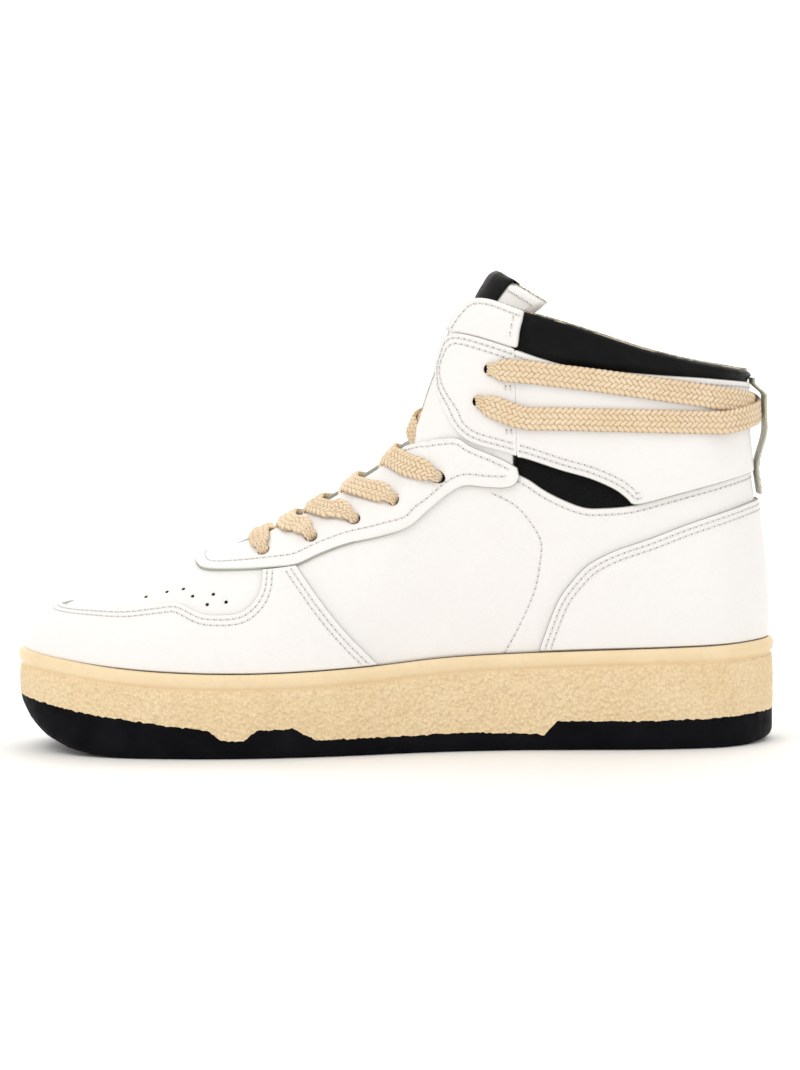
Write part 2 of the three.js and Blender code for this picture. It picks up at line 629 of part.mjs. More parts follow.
// ---------- the tongue ----------
function tongueFrame(k, lean = 0) {
  const at = (i) => TONGUE[clamp(i, 0, TONGUE.length - 1)];
  const [x, z, w, deep] = TONGUE[k];
  const dir = new THREE.Vector2(at(k + 1)[0] - at(k - 1)[0], at(k + 1)[1] - at(k - 1)[1]).normalize();
  dir.rotateAround(new THREE.Vector2(0, 0), THREE.MathUtils.degToRad(lean));
  return { c: new THREE.Vector3(x, 0, z), out: new THREE.Vector3(-dir.y, 0, dir.x), w, deep };
}

function tonguePoint(frame, degrees, depth) {
  const a = THREE.MathUtils.degToRad(degrees);
  const w = frame.w;
  const p = frame.c.clone().addScaledVector(frame.out, -frame.deep * (1 - Math.cos(a)));
  p.y = w * Math.sin(a);
  const n = frame.out.clone().multiplyScalar(w * Math.cos(a));
  n.y = frame.deep * Math.sin(a);
  return p.addScaledVector(n.normalize(), -depth);
}

function tongueLayer(from, to, near, far, spread = TONGUE_SPREAD, shift = 0) {
  const rings = [];
  for (let k = from; k <= to; k += 1) {
    const lean = k === from && from === TONGUE_BEND ? TONGUE_WEDGE : 0;
    const lean2 = k === to && to === TONGUE_BEND ? -TONGUE_WEDGE : 0;
    const f = tongueFrame(k, lean + lean2);
    if (lean || lean2) {
      const along2 = new THREE.Vector3(f.out.z, 0, -f.out.x);
      f.c.addScaledVector(along2, (lean ? 1 : -1) * GAP);
    }
    const face = [];
    const back = [];
    for (let i = 0; i <= 10; i += 1) {
      const a = -spread + (2 * spread * i) / 10;
      face.push(tonguePoint(f, a, near));
      back.push(tonguePoint(f, a, far));
    }
    rings.push([...face, ...back.reverse()]);
  }
  return band(rings, 11);
}

function tongue() {
  const last = TONGUE.length - 1;
  const foam = TONGUE_FACE + GAP;
  const inner = foam + TONGUE_FOAM + GAP;
  const parts = [['tongue_lower', 0, TONGUE_BEND], ['tongue_top', TONGUE_BEND, last]];
  for (const [name, a, b] of parts) {
    add(`${name}_face`, tongueLayer(a, b, 0, TONGUE_FACE), 'white');
    add(`${name}_foam`, tongueLayer(a, b, foam, foam + TONGUE_FOAM, TONGUE_SPREAD - 4), 'foam');
    add(`${name}_lining`, tongueLayer(a, b, inner, inner + TONGUE_LINING, TONGUE_SPREAD - 2), 'terry');
  }
  add('tongue_label', tongueLayer(last - 1, last, -GAP - 0.9, -GAP, 34), 'black');
}

// ---------- the lace, one cord from tip to tip ----------
const seat = (place, d) => offset(place.t, place.h, d);
const STEP = 1.7;             // size of the turn the lace makes into a hole

function throatAt(x, side) {
  // station on the edge of the throat whose x is wanted
  let [a, b] = [5.5, 15];
  for (let i = 0; i < 30; i += 1) {
    const m = (a + b) / 2;
    const here = station(m)[2];
    [a, b] = here > x ? [m, b] : [a, m];
  }
  return side < 0 ? a : COUNT - a;
}

function creep(path, a, b, d, side, skip = 8) {
  // the lace runs straight over the surface between two places, keeping clear of both by skip
  const from = seat(a, d);
  const to = seat(b, d);
  const count = Math.max(2, Math.round(from.distanceTo(to) / 4));
  for (let i = 1; i < count; i += 1) {
    const line = seat(a, 0).lerp(seat(b, 0), i / count);
    const q = locate(line.x, line.z, side);
    const p = seat(q, d);
    if (p.distanceTo(from) > skip && p.distanceTo(to) > skip) {
      path.push({ p, n: normal(q.t, q.h), w: LACE_W });
    }
  }
}

function through(path, place, before, after, inward) {
  // the lace turns into a hole, goes through and turns away towards the place after
  const n = normal(place.t, place.h);
  const flat = (q) => {
    const v = seat(q, 0).sub(seat(place, 0));
    return v.addScaledVector(n, -v.dot(n)).normalize();
  };
  const a = flat(before);
  const b = flat(after);
  const [first, second] = inward ? [LACE_OVER, LACE_UNDER] : [LACE_UNDER, LACE_OVER];
  const sign = inward ? -1 : 1;
  const side = Math.sign(seat(place, 0).y);
  const put = (d, shift, dir, w, nn) => {
    let p = seat(place, d).addScaledVector(dir, shift);
    if (shift > STEP) {
      // away from the hole the lace bends with the wall
      const on = seat(place, 0).addScaledVector(dir, shift);
      const q = locate(on.x, on.z, side);
      p = seat(q, d);
    }
    path.push({ p, n: nn, w });
  };
  put(first, 7, a, LACE_W, n);
  put(first, 4, a, LACE_W * 0.72, n);
  put(first, STEP, a, LACE_NECK, n);
  put(first + sign * STEP, 0, a, LACE_NECK, a.clone().multiplyScalar(-sign));
  put(second - sign * STEP, 0, b, LACE_NECK, a.clone().multiplyScalar(-sign));
  put(second, STEP, b, LACE_NECK, n);
  put(second, 4, b, LACE_W * 0.72, n);
  put(second, 7, b, LACE_W, n);
}

function crossing(path, k, side) {
  // from under the eyestay at row k on this side, over the tongue to the other side
  const last = k === ROWS.length - 1;
  const a = { t: throatAt(LACE_OUT[k], side), h: 1 };
  const b = { t: throatAt(LACE_ON[k + 1], -side), h: 1 };
  const under = seat(a, LACE_UNDER);
  const over = seat(b, last ? LACE_UNDER : LACE_OVER);
  const out = normal(a.t, 1).add(normal(b.t, 1)).setY(0).normalize();
  const mid = seat(a, 0).add(seat(b, 0)).multiplyScalar(0.5);
  mid.addScaledVector(out, (side < 0 ? 1.1 : -1.1) + (last ? -1.6 : 0.4));
  const towards = (p, q, s) => {
    const v = q.clone().sub(p);
    return p.clone().addScaledVector(v.normalize(), s);
  };
  const level = (p, y) => new THREE.Vector3(p.x, y, p.z);
  path.push({ p: under, n: normal(a.t, 1), w: LACE_W });
  path.push({ p: towards(under, level(under, 0), 2.5), n: normal(a.t, 1), w: LACE_W });
  path.push({ p: mid, n: out, w: LACE_W });
  path.push({ p: towards(over, level(over, 0), 2.5), n: normal(b.t, 1), w: LACE_W });
  path.push({ p: over, n: normal(b.t, 1), w: LACE_W });
  return b;
}

function strandAround(path, side, lift) {
  // from this side's lower flap hole round the heel to the other side's upper flap hole
  const [low, high] = [[50, 129.5], [125, 126.5]];
  const [low2, high2] = [[125, 136], [54, 147]];
  const sign = side < 0 ? 1 : -1;
  const from = locate(...low, side);
  const turn = locate(...high, side);
  const turn2 = locate(...low2, -side);
  const to = locate(...high2, -side);
  const drop = (t, z, extra) => {
    const q = { t, h: heightAt(t, z) };
    path.push({ p: seat(q, LACE_OVER + extra), n: normal(q.t, q.h), w: LACE_W });
  };
  const near = (q) => (q.t > COUNT / 2 ? q.t - COUNT : q.t) * sign;
  const span = (a, b, z0, z1, count, extra) => {
    for (let i = 0; i < count; i += 1) {
      const f = i / count;
      drop(sign * (a + (b - a) * f), z0 + (z1 - z0) * f, extra(a + (b - a) * f));
    }
  };
  const raise = (t) => lift * (1 - smooth(1.5, 2.1, Math.abs(t)));
  span(near(from), near(turn), low[1], high[1], 8, raise);
  span(near(turn), near(turn2), high[1], low2[1], 12, raise);
  span(near(turn2), near(to), low2[1], high2[1], 8, raise);
  drop(to.t, high2[1], 0);
  return to;
}

function heightAt(t, z) {
  let [a, b] = [0, 1];
  for (let i = 0; i < 30; i += 1) {
    const m = (a + b) / 2;
    [a, b] = surface(t, m).z < z ? [m, b] : [a, m];
  }
  return a;
}

function lacePath(side) {
  // one half of the lace, from the middle of the first bar to its tip
  const path = [];
  let edge = { t: throatAt(LACE_ON[0], side), h: 1 };
  const mid = new THREE.Vector3(LACE_ON[0], 0, seat(edge, 0).z + OVER[1] + 1.6);
  path.push({ p: mid, n: new THREE.Vector3(0, 0, 1), w: LACE_W });
  path.push({ p: seat(edge, LACE_OVER), n: normal(edge.t, 1), w: LACE_W });
  let here = side;
  for (let k = 0; k < ROWS.length; k += 1) {
    const place = eyelets[here][k];
    const exit = { t: throatAt(LACE_OUT[k], here), h: 1 };
    creep(path, edge, place, LACE_OVER, here, 6);
    through(path, place, edge, exit, true);
    creep(path, place, exit, LACE_UNDER, here);
    edge = crossing(path, k, here);
    here = -here;
  }
  const [low, high] = flapEyelets[here];
  const start = locate(50, 129.5, here);
  creep(path, edge, low, LACE_UNDER, here, 6);
  through(path, low, edge, start, false);
  const to = strandAround(path, here, side < 0 ? 0 : LACE_T + GAP + 0.2);
  const end = flapEyelets[-here][1];
  const tip = locate(36.5, 166, -here);
  through(path, end, to, tip, true);
  return path;
}

function laceRings(path) {
  const curve = new THREE.CatmullRomCurve3(path.map((q) => q.p), false, 'centripetal');
  const rings = [];
  let side = null;
  const parts = path.length - 1;
  for (let i = 0; i <= parts; i += 1) {
    const p = path[i].p;
    const w = path[i].w;
    const tangent = curve.getTangent(i / parts).normalize();
    const wide = path[i].n.clone().cross(tangent).normalize();
    if (side && wide.dot(side) < 0) {
      wide.negate();
    }
    side = wide;
    const thick = tangent.clone().cross(wide).normalize();
    const corner = (a, b) => p.clone().addScaledVector(wide, (a * w) / 2)
      .addScaledVector(thick, (b * LACE_T) / 2);
    rings.push([corner(-1, -1), corner(1, -1), corner(1, 1), corner(-1, 1)]);
  }
  return rings;
}

function lace() {
  const left = lacePath(-1);
  const right = lacePath(1);
  const path = [...left.slice(1).reverse(), ...right];
  const rings = laceRings(path);
  add('lace', band(rings, 2), 'lace');
  const tip = (name, end, before) => {
    const dir = end.clone().sub(before).normalize();
    const start = end.clone().addScaledVector(dir, GAP);
    const stop = end.clone().addScaledVector(dir, GAP + AGLET_L);
    add(name, rod(start, stop, AGLET_R), 'lace');
  };
  tip('aglet_medial', path[path.length - 1].p, path[path.length - 2].p);
  tip('aglet_lateral', path[0].p, path[1].p);
}

// ---------- the webbing loop at the heel ----------
function heelLoop() {
  const bulge = (z) => (LACE_T * 2 + GAP * 3 + 1) * smooth(110, 121, z) * (1 - smooth(140, 146, z));
  const rings = [];
  for (let z = 98; z <= 147; z += 3.5) {
    const h = heightAt(0, z);
    const near = offset(0, h, OVER[1] + GAP + bulge(z));
    const far = offset(0, h, OVER[1] + GAP + bulge(z) + LOOP_T);
    const at = (p, y) => new THREE.Vector3(p.x, y, p.z);
    const y = LOOP_W / 2;
    rings.push([at(far, -y), at(far, y), at(near, y), at(near, -y)]);
  }
  add('heel_loop', band(rings, 2), 'white');
}

sole();
upper();
tongue();
lace();
heelLoop();

// the stations put y = 0 on the line of the throat; the frame's origin is the middle of the sole
const extent = new THREE.Box3().setFromObject(group);
const middle = extent.getCenter(new THREE.Vector3());
group.position.set(-middle.x, -middle.y, -extent.min.z);

export default group;
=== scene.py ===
# %% [markdown]
# # A leather basketball high top, piece by piece
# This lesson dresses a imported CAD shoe. The CAD gives every place and size, and Blender adds
# what a shoemaker's hand leaves: rounded leather edges, stitches, a braided lace, grain and
# fuzz. Shapes are worked out in millimetres and turned into metres when a mesh is made.

# %% Load the frame
import json
import math
import random

import bmesh
import bpy
import numpy as np
from mathutils import Matrix, Quaternion, Vector, geometry, kdtree, noise

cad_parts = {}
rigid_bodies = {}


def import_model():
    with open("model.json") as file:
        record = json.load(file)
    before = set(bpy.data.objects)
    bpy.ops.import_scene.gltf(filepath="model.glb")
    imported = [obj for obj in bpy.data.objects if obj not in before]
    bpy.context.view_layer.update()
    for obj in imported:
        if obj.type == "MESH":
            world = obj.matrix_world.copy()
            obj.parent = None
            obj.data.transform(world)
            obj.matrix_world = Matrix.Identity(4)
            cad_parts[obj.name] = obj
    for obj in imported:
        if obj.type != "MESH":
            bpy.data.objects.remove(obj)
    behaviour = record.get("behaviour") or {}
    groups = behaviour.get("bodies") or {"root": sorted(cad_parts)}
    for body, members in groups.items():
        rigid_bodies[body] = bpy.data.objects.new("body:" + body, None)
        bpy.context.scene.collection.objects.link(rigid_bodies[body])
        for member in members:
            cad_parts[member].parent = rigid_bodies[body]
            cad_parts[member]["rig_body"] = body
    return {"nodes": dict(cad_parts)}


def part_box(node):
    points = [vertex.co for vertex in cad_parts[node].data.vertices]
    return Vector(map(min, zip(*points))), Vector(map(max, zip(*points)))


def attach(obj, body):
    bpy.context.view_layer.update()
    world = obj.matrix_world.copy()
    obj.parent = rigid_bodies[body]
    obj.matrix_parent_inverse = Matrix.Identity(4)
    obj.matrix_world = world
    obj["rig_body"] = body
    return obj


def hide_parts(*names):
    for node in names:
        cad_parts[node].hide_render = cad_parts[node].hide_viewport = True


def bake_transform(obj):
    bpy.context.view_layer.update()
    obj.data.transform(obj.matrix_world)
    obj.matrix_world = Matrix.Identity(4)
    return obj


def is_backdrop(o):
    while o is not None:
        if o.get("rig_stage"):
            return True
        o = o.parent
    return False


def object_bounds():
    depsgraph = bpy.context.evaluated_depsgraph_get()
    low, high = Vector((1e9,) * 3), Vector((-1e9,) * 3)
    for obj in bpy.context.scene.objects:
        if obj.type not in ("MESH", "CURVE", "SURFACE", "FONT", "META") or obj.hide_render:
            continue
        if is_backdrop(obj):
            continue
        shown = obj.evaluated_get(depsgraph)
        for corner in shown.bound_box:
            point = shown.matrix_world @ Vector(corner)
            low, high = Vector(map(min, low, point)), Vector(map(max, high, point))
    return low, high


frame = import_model()
cad_low, cad_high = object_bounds()
print("CAD box in metres:", [round(v, 4) for v in cad_high - cad_low])

# %% [markdown]
# ## Camera, light and floor
# A shoe is usually shown from its side on a pale sweep. Big soft area lights give the leather
# broad, quiet highlights, and a long lens keeps the proportions true. The floor is a plain
# sheet.

# %% Camera
MM = 0.001
VIEW_DISTANCE = 1300 * MM
VIEW_RISE = math.radians(3.9)
ROLL = math.radians(-0.57)
LENS = 110.0

target = Vector((cad_low.x + 151.8 * MM, -2.4 * MM, 82.2 * MM))
camera = bpy.data.objects.new("camera", bpy.data.cameras.new("camera"))
bpy.context.scene.collection.objects.link(camera)
camera.data.lens = LENS
camera.data.sensor_width = 36
away = Vector((0, -math.cos(VIEW_RISE), math.sin(VIEW_RISE)))
camera.location = target + away * VIEW_DISTANCE
camera.rotation_mode = "QUATERNION"
camera.rotation_quaternion = Quaternion(away, ROLL) @ (-away).to_track_quat("-Z", "Y")
bpy.context.scene.camera = camera
bpy.context.scene.view_settings.view_transform = "Standard"
print("camera at", [round(v, 3) for v in camera.location])

# %% Lights
def soft_light(name, place, power, size, colour=(1, 1, 1), aim_at=(0, 0, 0.08)):
    lamp = bpy.data.objects.new(name, bpy.data.lights.new(name, "AREA"))
    lamp.data.shape = "RECTANGLE"
    lamp.data.size, lamp.data.size_y = size
    lamp.data.energy = power
    lamp.data.color = colour
    lamp.location = Vector(place)
    aim = Vector(aim_at) - lamp.location
    lamp.rotation_mode = "QUATERNION"
    lamp.rotation_quaternion = aim.to_track_quat("-Z", "Y")
    bpy.context.scene.collection.objects.link(lamp)
    return lamp


soft_light("key", (-0.75, -0.8, 1.35), 6.2, (0.9, 0.7), (1, 0.985, 0.96))
soft_light("fill", (0.95, -0.9, 0.7), 1.35, (1.0, 1.0), (1, 0.99, 0.97))
soft_light("back", (0.1, 1.2, 1.1), 4.0, (1.6, 0.8))
soft_light("backdrop", (0, 1.3, 2.2), 34, (3.2, 1.2), aim_at=(0, 2.7, 0.6))
world = bpy.data.worlds.new("studio")
bpy.context.scene.world = world
world.use_nodes = True
world.node_tree.nodes["Background"].inputs["Color"].default_value = (1, 0.985, 0.965, 1)
world.node_tree.nodes["Background"].inputs["Strength"].default_value = 0.885

# %% [markdown]
# ## Small helpers for finishes
# Each finish is a shader made of nodes. A node needs a type, some settings and some links, so
# one short helper makes a node and links it in a line. Patterns read the object's own
# coordinates, in metres, so their scale stays true and they move with the piece.

# %% Material helpers
class Finish:
    """One material with a Principled shader and a few nodes around it."""

    def __init__(self, name, colour, roughness, **sockets):
        self.material = bpy.data.materials.new(name)
        self.material.use_nodes = True
        self.tree = self.material.node_tree
        self.shader = self.tree.nodes["Principled BSDF"]
        self.colour = colour
        self.put("Base Color", (*colour, 1))
        self.put("Roughness", roughness)
        for socket, value in sockets.items():
            self.put(socket.replace("_", " "), value)
        place = self.node("ShaderNodeTexCoord")
        self.place = place.outputs["Object"]

    def put(self, socket, value):
        self.shader.inputs[socket].default_value = value

    def node(self, kind, links=(), **values):
        made = self.tree.nodes.new(kind)
        for key, value in values.items():
            if hasattr(made, key):
                setattr(made, key, value)
            else:
                made.inputs[key.replace("_", " ")].default_value = value
        for source, socket in links:
            self.tree.links.new(source, made.inputs[socket])
        return made

    def grain(self, size, detail=3.0):
        """Cloudy noise whose lumps are about size millimetres wide."""
        made = self.node("ShaderNodeTexNoise", [(self.place, "Vector")],
                         Scale=1 / (size * MM), Detail=detail)
        return made.outputs["Fac"]

    def cells(self, size, feature="F1"):
        """Cells about size millimetres wide; F1 is domed, DISTANCE_TO_EDGE has creases."""
        made = self.node("ShaderNodeTexVoronoi", [(self.place, "Vector")],
                         Scale=1 / (size * MM), feature=feature)
        return made.outputs["Distance"]

    def ramp(self, source, low, high, floor=0.0, ceiling=1.0):
        made = self.node("ShaderNodeMapRange", [(source, "Value")])
        for socket, value in (("From Min", low), ("From Max", high),
                              ("To Min", floor), ("To Max", ceiling)):
            made.inputs[socket].default_value = value
        return made.outputs[0]

    def tint(self, source, low, high, other, floor=0.0, ceiling=1.0):
        """Mixes in another colour as the source goes from low to high."""
        amount = self.ramp(source, low, high, floor, ceiling)
        made = self.node("ShaderNodeMix", data_type="RGBA")
        shader_colour = self.shader.inputs["Base Color"]
        if shader_colour.is_linked:
            self.tree.links.new(shader_colour.links[0].from_socket, made.inputs[6])
        else:
            made.inputs[6].default_value = (*self.colour, 1)
        made.inputs[7].default_value = (*other, 1)
        self.tree.links.new(amount, made.inputs[0])
        self.tree.links.new(made.outputs[2], shader_colour)
        return self

    def gloss(self, source, low, high, dull, shiny):
        self.tree.links.new(self.ramp(source, low, high, dull, shiny),
                            self.shader.inputs["Roughness"])
        return self

    def bump(self, source, depth):
        """Raises the surface by up to depth millimetres where source is 1."""
        made = self.node("ShaderNodeBump", [(source, "Height")], Strength=1.0,
                         Distance=depth * MM)
        normal = self.shader.inputs["Normal"]
        if normal.is_linked:
            self.tree.links.new(normal.links[0].from_socket, made.inputs["Normal"])
        self.tree.links.new(made.outputs[0], normal)
        return self


# %% [markdown]
# ## The floor
# The floor is stage, not shoe. A slightly warm pale paper with a very fine tooth keeps it from
# looking like a void.

# %% Floor
paper = Finish("floor_paper", (0.955, 0.945, 0.925), 0.75)
paper.tint(paper.grain(90, 2), 0.3, 0.7, (0.97, 0.963, 0.95))
paper.bump(paper.grain(1.2), 0.02)
FLOOR_HALF, SWEEP_AT, SWEEP_R = 6.0, 1.6, 1.2
sweep = [(-FLOOR_HALF, 0.0), (SWEEP_AT, 0.0)]
sweep += [(SWEEP_AT + SWEEP_R * math.sin(a), SWEEP_R * (1 - math.cos(a)))
          for a in np.linspace(0, math.pi / 2, 25)[1:]]
sweep.append((SWEEP_AT + SWEEP_R, 5.0))
floor_mesh = bpy.data.meshes.new("floor")
floor_mesh.from_pydata([(x, y, z) for y, z in sweep for x in (-FLOOR_HALF, FLOOR_HALF)], [],
                       [(2 * i, 2 * i + 1, 2 * i + 3, 2 * i + 2) for i in range(len(sweep) - 1)])
floor_mesh.polygons.foreach_set("use_smooth", [True] * len(floor_mesh.polygons))
floor_mesh.materials.append(paper.material)
floor = bpy.data.objects.new("floor", floor_mesh)
bpy.context.scene.collection.objects.link(floor)
floor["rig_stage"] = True

# %% [markdown]
# ## The last: one smooth surface for the whole upper
# A shoemaker pulls leather over a wooden last. Here the last is a formula: thirty stations go
# round the shoe, and from each one a curve climbs from the sole to the top edge. A place on the
# leather is a pair (t, h), with t the station and h the height from 0 at the sole to 1 at the
# edge. The same numbers built the CAD, so every panel drawn on this surface lies where its CAD
# solid is.

# %% Stations: sole edge x, y | top edge x, y, z | rise and bulge at the sole | handle at the edge
STATIONS = np.array([
    [150, 0, 138.5, 0, 147, 42, 2.5, -5, 0, -34],
    [145, -17, 133, -18, 148, 42, 3, -2, 0.5, -34],
    [128, -33, 117, -29, 151, 40, 2, 0, 2.5, -36],
    [100, -38, 97, -33, 156, 40, 1, 2, 3, -38],
    [72, -37, 76, -34, 163, 42, 0, 0, 2, -42],
    [46, -36, 53, -32, 170, 44, 0, -6, 2, -46],
    [22, -38, 30, -22, 174, 40, 0, -10, -9, -50],
    [2, -42, 17, -18, 146, 34, 0, -2, -14, -36],
    [-16, -47, 6, -17, 118, 30, 0, -3, -18, -24],
    [-36, -51, -12, -17, 103, 26, 0, -6, -20, -16],
    [-58, -53.5, -30, -16, 92, 23, 0, -8, -21, -10],
    [-82, -52.5, -46, -13.5, 83.5, 22, 0, -12, -19, -7],
    [-106, -48, -55, -10, 79.5, 20, 0, -18, -15, -6],
    [-128, -38, -60, -6, 77.5, 18, 1, -26, -10, -7],
    [-144, -22, -62, -3, 76.8, 16, 1, -32, -5, -8],
    [-150, -2, -62.5, 0, 76.5, 16, 1, -34, 0, -8],
    [-143, 21, -62, 3, 76.8, 16, 1, -32, 5, -8],
    [-125, 39, -60, 6, 77.5, 18, 1, -26, 10, -7],
    [-100, 51, -55, 10, 79.5, 20, 0, -18, 15, -6],
    [-74, 57, -46, 13.5, 83.5, 21, 0, -12, 20, -7],
    [-48, 58.5, -30, 16, 92, 22, 0, -8, 23, -10],
    [-24, 57, -12, 17, 103, 25, 0, -6, 22, -16],
    [-2, 54, 6, 17, 118, 29, 0, -3, 19, -24],
    [18, 50.5, 17, 18, 146, 33, 0, -2, 15, -36],
    [36, 47, 30, 22, 174, 38, 0, -10, 9, -50],
    [56, 44.5, 53, 32, 170, 42, 0, -6, -2, -46],
    [78, 42, 76, 34, 163, 42, 0, 0, -2, -42],
    [102, 39.5, 97, 33, 156, 40, 1, 2, -3, -38],
    [127, 33, 117, 29, 151, 40, 2, 0, -2.5, -36],
    [145, 17, 133, 18, 148, 42, 3, -2, -0.5, -34],
])
COUNT = len(STATIONS)
TOE = COUNT / 2
UPPER_INSET = 5.2      # the upper stands this far inside the edge of the sole
MARGIN = 9             # leather tucked down inside the cup
RIM = [[-151, 40], [-130, 37.5], [-110, 35], [-85, 33.2], [-60, 32.6], [-35, 33],
       [-10, 34.3], [20, 36.8], [50, 38], [90, 39.2], [125, 40], [151, 41]]
BASE_TOP = 1.4         # outer face of the leather next to the foot
OVER_TOP = 3.05        # outer face of the pieces stitched on top
LINE_IN = -3.6         # inner face of the lining
COLLAR_PAD, COLLAR_START = 6.5, 0.56
LACE_T, LACE_W, LACE_NECK = 1.7, 8.9, 4.5
LACE_OVER = 3.1 + 0.3 + LACE_T / 2 + 0.4
LACE_UNDER = LINE_IN - 0.3 - LACE_T / 2 - 1.2


# %% The surface
def smooth_curve(points):
    """A height curve through its points, without corners."""
    points = np.array(points, float)
    x, z = points.T
    slope = np.gradient(z, x)

    def at(value):
        value = np.clip(value, x[0], x[-1])
        i = np.clip(np.searchsorted(x, value) - 1, 0, len(x) - 2)
        wide = x[i + 1] - x[i]
        f = (value - x[i]) / wide
        return ((2 * f**3 - 3 * f**2 + 1) * z[i] + (f**3 - 2 * f**2 + f) * wide * slope[i]
                + (3 * f**2 - 2 * f**3) * z[i + 1] + (f**3 - f**2) * wide * slope[i + 1])
    return at


rim_at = smooth_curve(RIM)


def length_along(points):
    """The distance walked along a chain of points when each of them is reached."""
    return np.concatenate([[0], np.cumsum(np.linalg.norm(np.diff(points, axis=0), axis=1))])


def smooth(a, b, v):
    """Rises softly from 0 at a to 1 at b."""
    s = np.clip((v - a) / (b - a), 0, 1)
    return s * s * (3 - 2 * s)


def station(t):
    """The ten numbers of a station, eased between the thirty in the table."""
    t = np.asarray(t, float)
    i = np.floor(t).astype(int)
    f = (t - i)[..., None]
    a, b, c, d = (STATIONS[(i + k) % COUNT] for k in (-1, 0, 1, 2))
    return 0.5 * (2 * b + (c - a) * f + (2 * a - 5 * b + 4 * c - d) * f**2
                  + (3 * b - a - 3 * c + d) * f**3)


def edge_normal(t):
    """The direction out of the sole's edge, seen from above."""
    run = station(t + 0.001)[..., :2] - station(t - 0.001)[..., :2]
    out = np.stack([-run[..., 1], run[..., 0]], -1)
    return out / np.linalg.norm(out, axis=-1, keepdims=True)


def sole_point(t, inset):
    """A point of the sole's outline, moved in by inset millimetres."""
    return station(t)[..., :2] - edge_normal(t) * np.asarray(inset)[..., None]


def surface(t, h):
    """The place (t, h) on the last, as x, y, z in millimetres."""
    t, h = np.broadcast_arrays(np.asarray(t, float), np.asarray(h, float))
    s = station(t)
    n = edge_normal(t)
    foot = s[..., :2] - n * UPPER_INSET
    p0 = np.concatenate([foot, rim_at(foot[..., 0])[..., None]], -1)
    p1 = p0 + np.concatenate([n * s[..., 6:7], s[..., 5:6]], -1)
    p3 = s[..., 2:5]
    p2 = p3 + s[..., 7:10]
    g = np.maximum(h, 0)[..., None]
    u = 1 - g
    up = u**3 * p0 + 3 * u * u * g * p1 + 3 * u * g * g * p2 + g**3 * p3
    down = p0 + (p1 - p0) * (np.minimum(h, 0)[..., None] * MARGIN / s[..., 5:6])
    return np.where(h[..., None] < 0, down, up)


def normal(t, h):
    """The direction out of the leather at (t, h)."""
    g = np.clip(h, 0, 1)
    a = surface(t + 0.001, g) - surface(t - 0.001, g)
    b = surface(t, np.minimum(g + 0.001, 1)) - surface(t, np.maximum(g - 0.001, 0))
    n = np.cross(b, a)
    return n / np.linalg.norm(n, axis=-1, keepdims=True)


def offset(t, h, d):
    """The place (t, h), lifted off the last by d millimetres."""
    return surface(t, h) + normal(t, h) * np.asarray(d)[..., None]


def padding(t, h):
    """How much the ankle collar thickens inwards."""
    around = np.minimum(np.mod(t, COUNT), np.mod(COUNT - t, COUNT))
    rise = smooth(COLLAR_START, 0.86, h) * (1 - 0.35 * smooth(0.93, 1, h))
    return COLLAR_PAD * rise * (1 - smooth(4.2, 5.4, around))


ring_t = np.linspace(0, COUNT, 721)
widest = sole_point(ring_t, 0.6)
box_low, box_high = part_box("outsole")
SHIFT_Y = (box_low.y + box_high.y) / 2 / MM - (widest[:, 1].min() + widest[:, 1].max()) / 2
print("throat line at y =", round(SHIFT_Y, 2), "mm in the frame")

# %% [markdown]
# ## Turning points into pieces
# Every piece is a mesh made from arrays. One helper takes millimetres, shifts them into the
# frame, gives the piece its finishes, and says which CAD body carries it and which CAD nodes it
# stands for.

# %% Mesh helpers
def piece(name, points, faces, finishes, body="shoe", slot=None, nodes=(), face_finish=None):
    """A mesh from points in millimetres, with its finishes, its body and its CAD nodes."""
    points = (np.asarray(points, float) + [0, SHIFT_Y, 0]) * MM
    mesh = bpy.data.meshes.new(name)
    faces = [list(map(int, f)) for f in faces]
    mesh.from_pydata(points.tolist(), [], faces)
    for finish in finishes:
        mesh.materials.append(finish.material)
    if face_finish is not None:
        mesh.polygons.foreach_set("material_index", np.asarray(face_finish, np.int32))
    mesh.polygons.foreach_set("use_smooth", np.ones(len(mesh.polygons), bool))
    mesh.validate()
    mesh.update()
    made = bpy.data.objects.new(name, mesh)
    bpy.context.scene.collection.objects.link(made)
    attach(made, body)
    if nodes:
        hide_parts(*nodes)
    print(f"{name}: {len(points)} points, {len(faces)} faces")
    return made


def grid_faces(rows, columns, wrap=False, start=0):
    """Quads between rows of points; wrap joins the last column to the first."""
    j, i = np.meshgrid(np.arange(rows - 1), np.arange(columns if wrap else columns - 1),
                       indexing="ij")
    right = (i + 1) % columns
    quads = np.stack([j * columns + i, j * columns + right, (j + 1) * columns + right,
                      (j + 1) * columns + i], -1)
    return quads.reshape(-1, 4) + start


def rough(points, size, seed=0.0):
    """Seeded smooth noise from -1 to 1 at each point, with lumps of size millimetres."""
    shift = Vector((seed * 17.3, seed * 5.1, seed * 9.7))
    return np.array([noise.noise(Vector(p) / size + shift) for p in points])


def face_outwards(made):
    """Turns the faces of an open or closed mesh so that they all look outwards."""
    work = bmesh.new()
    work.from_mesh(made.data)
    bmesh.ops.recalc_face_normals(work, faces=work.faces)
    work.to_mesh(made.data)
    work.free()


# %% [markdown]
# ## Rubber and leather
# Cream rubber has two looks: the band on top is smooth and a little shiny, while the side wall
# is pebbled all over. Coated leather is nearly white; what the eye reads is a fine grain, a
# broad soft highlight and slightly warmer, duller places. Cut edges show the grey core of the
# hide.

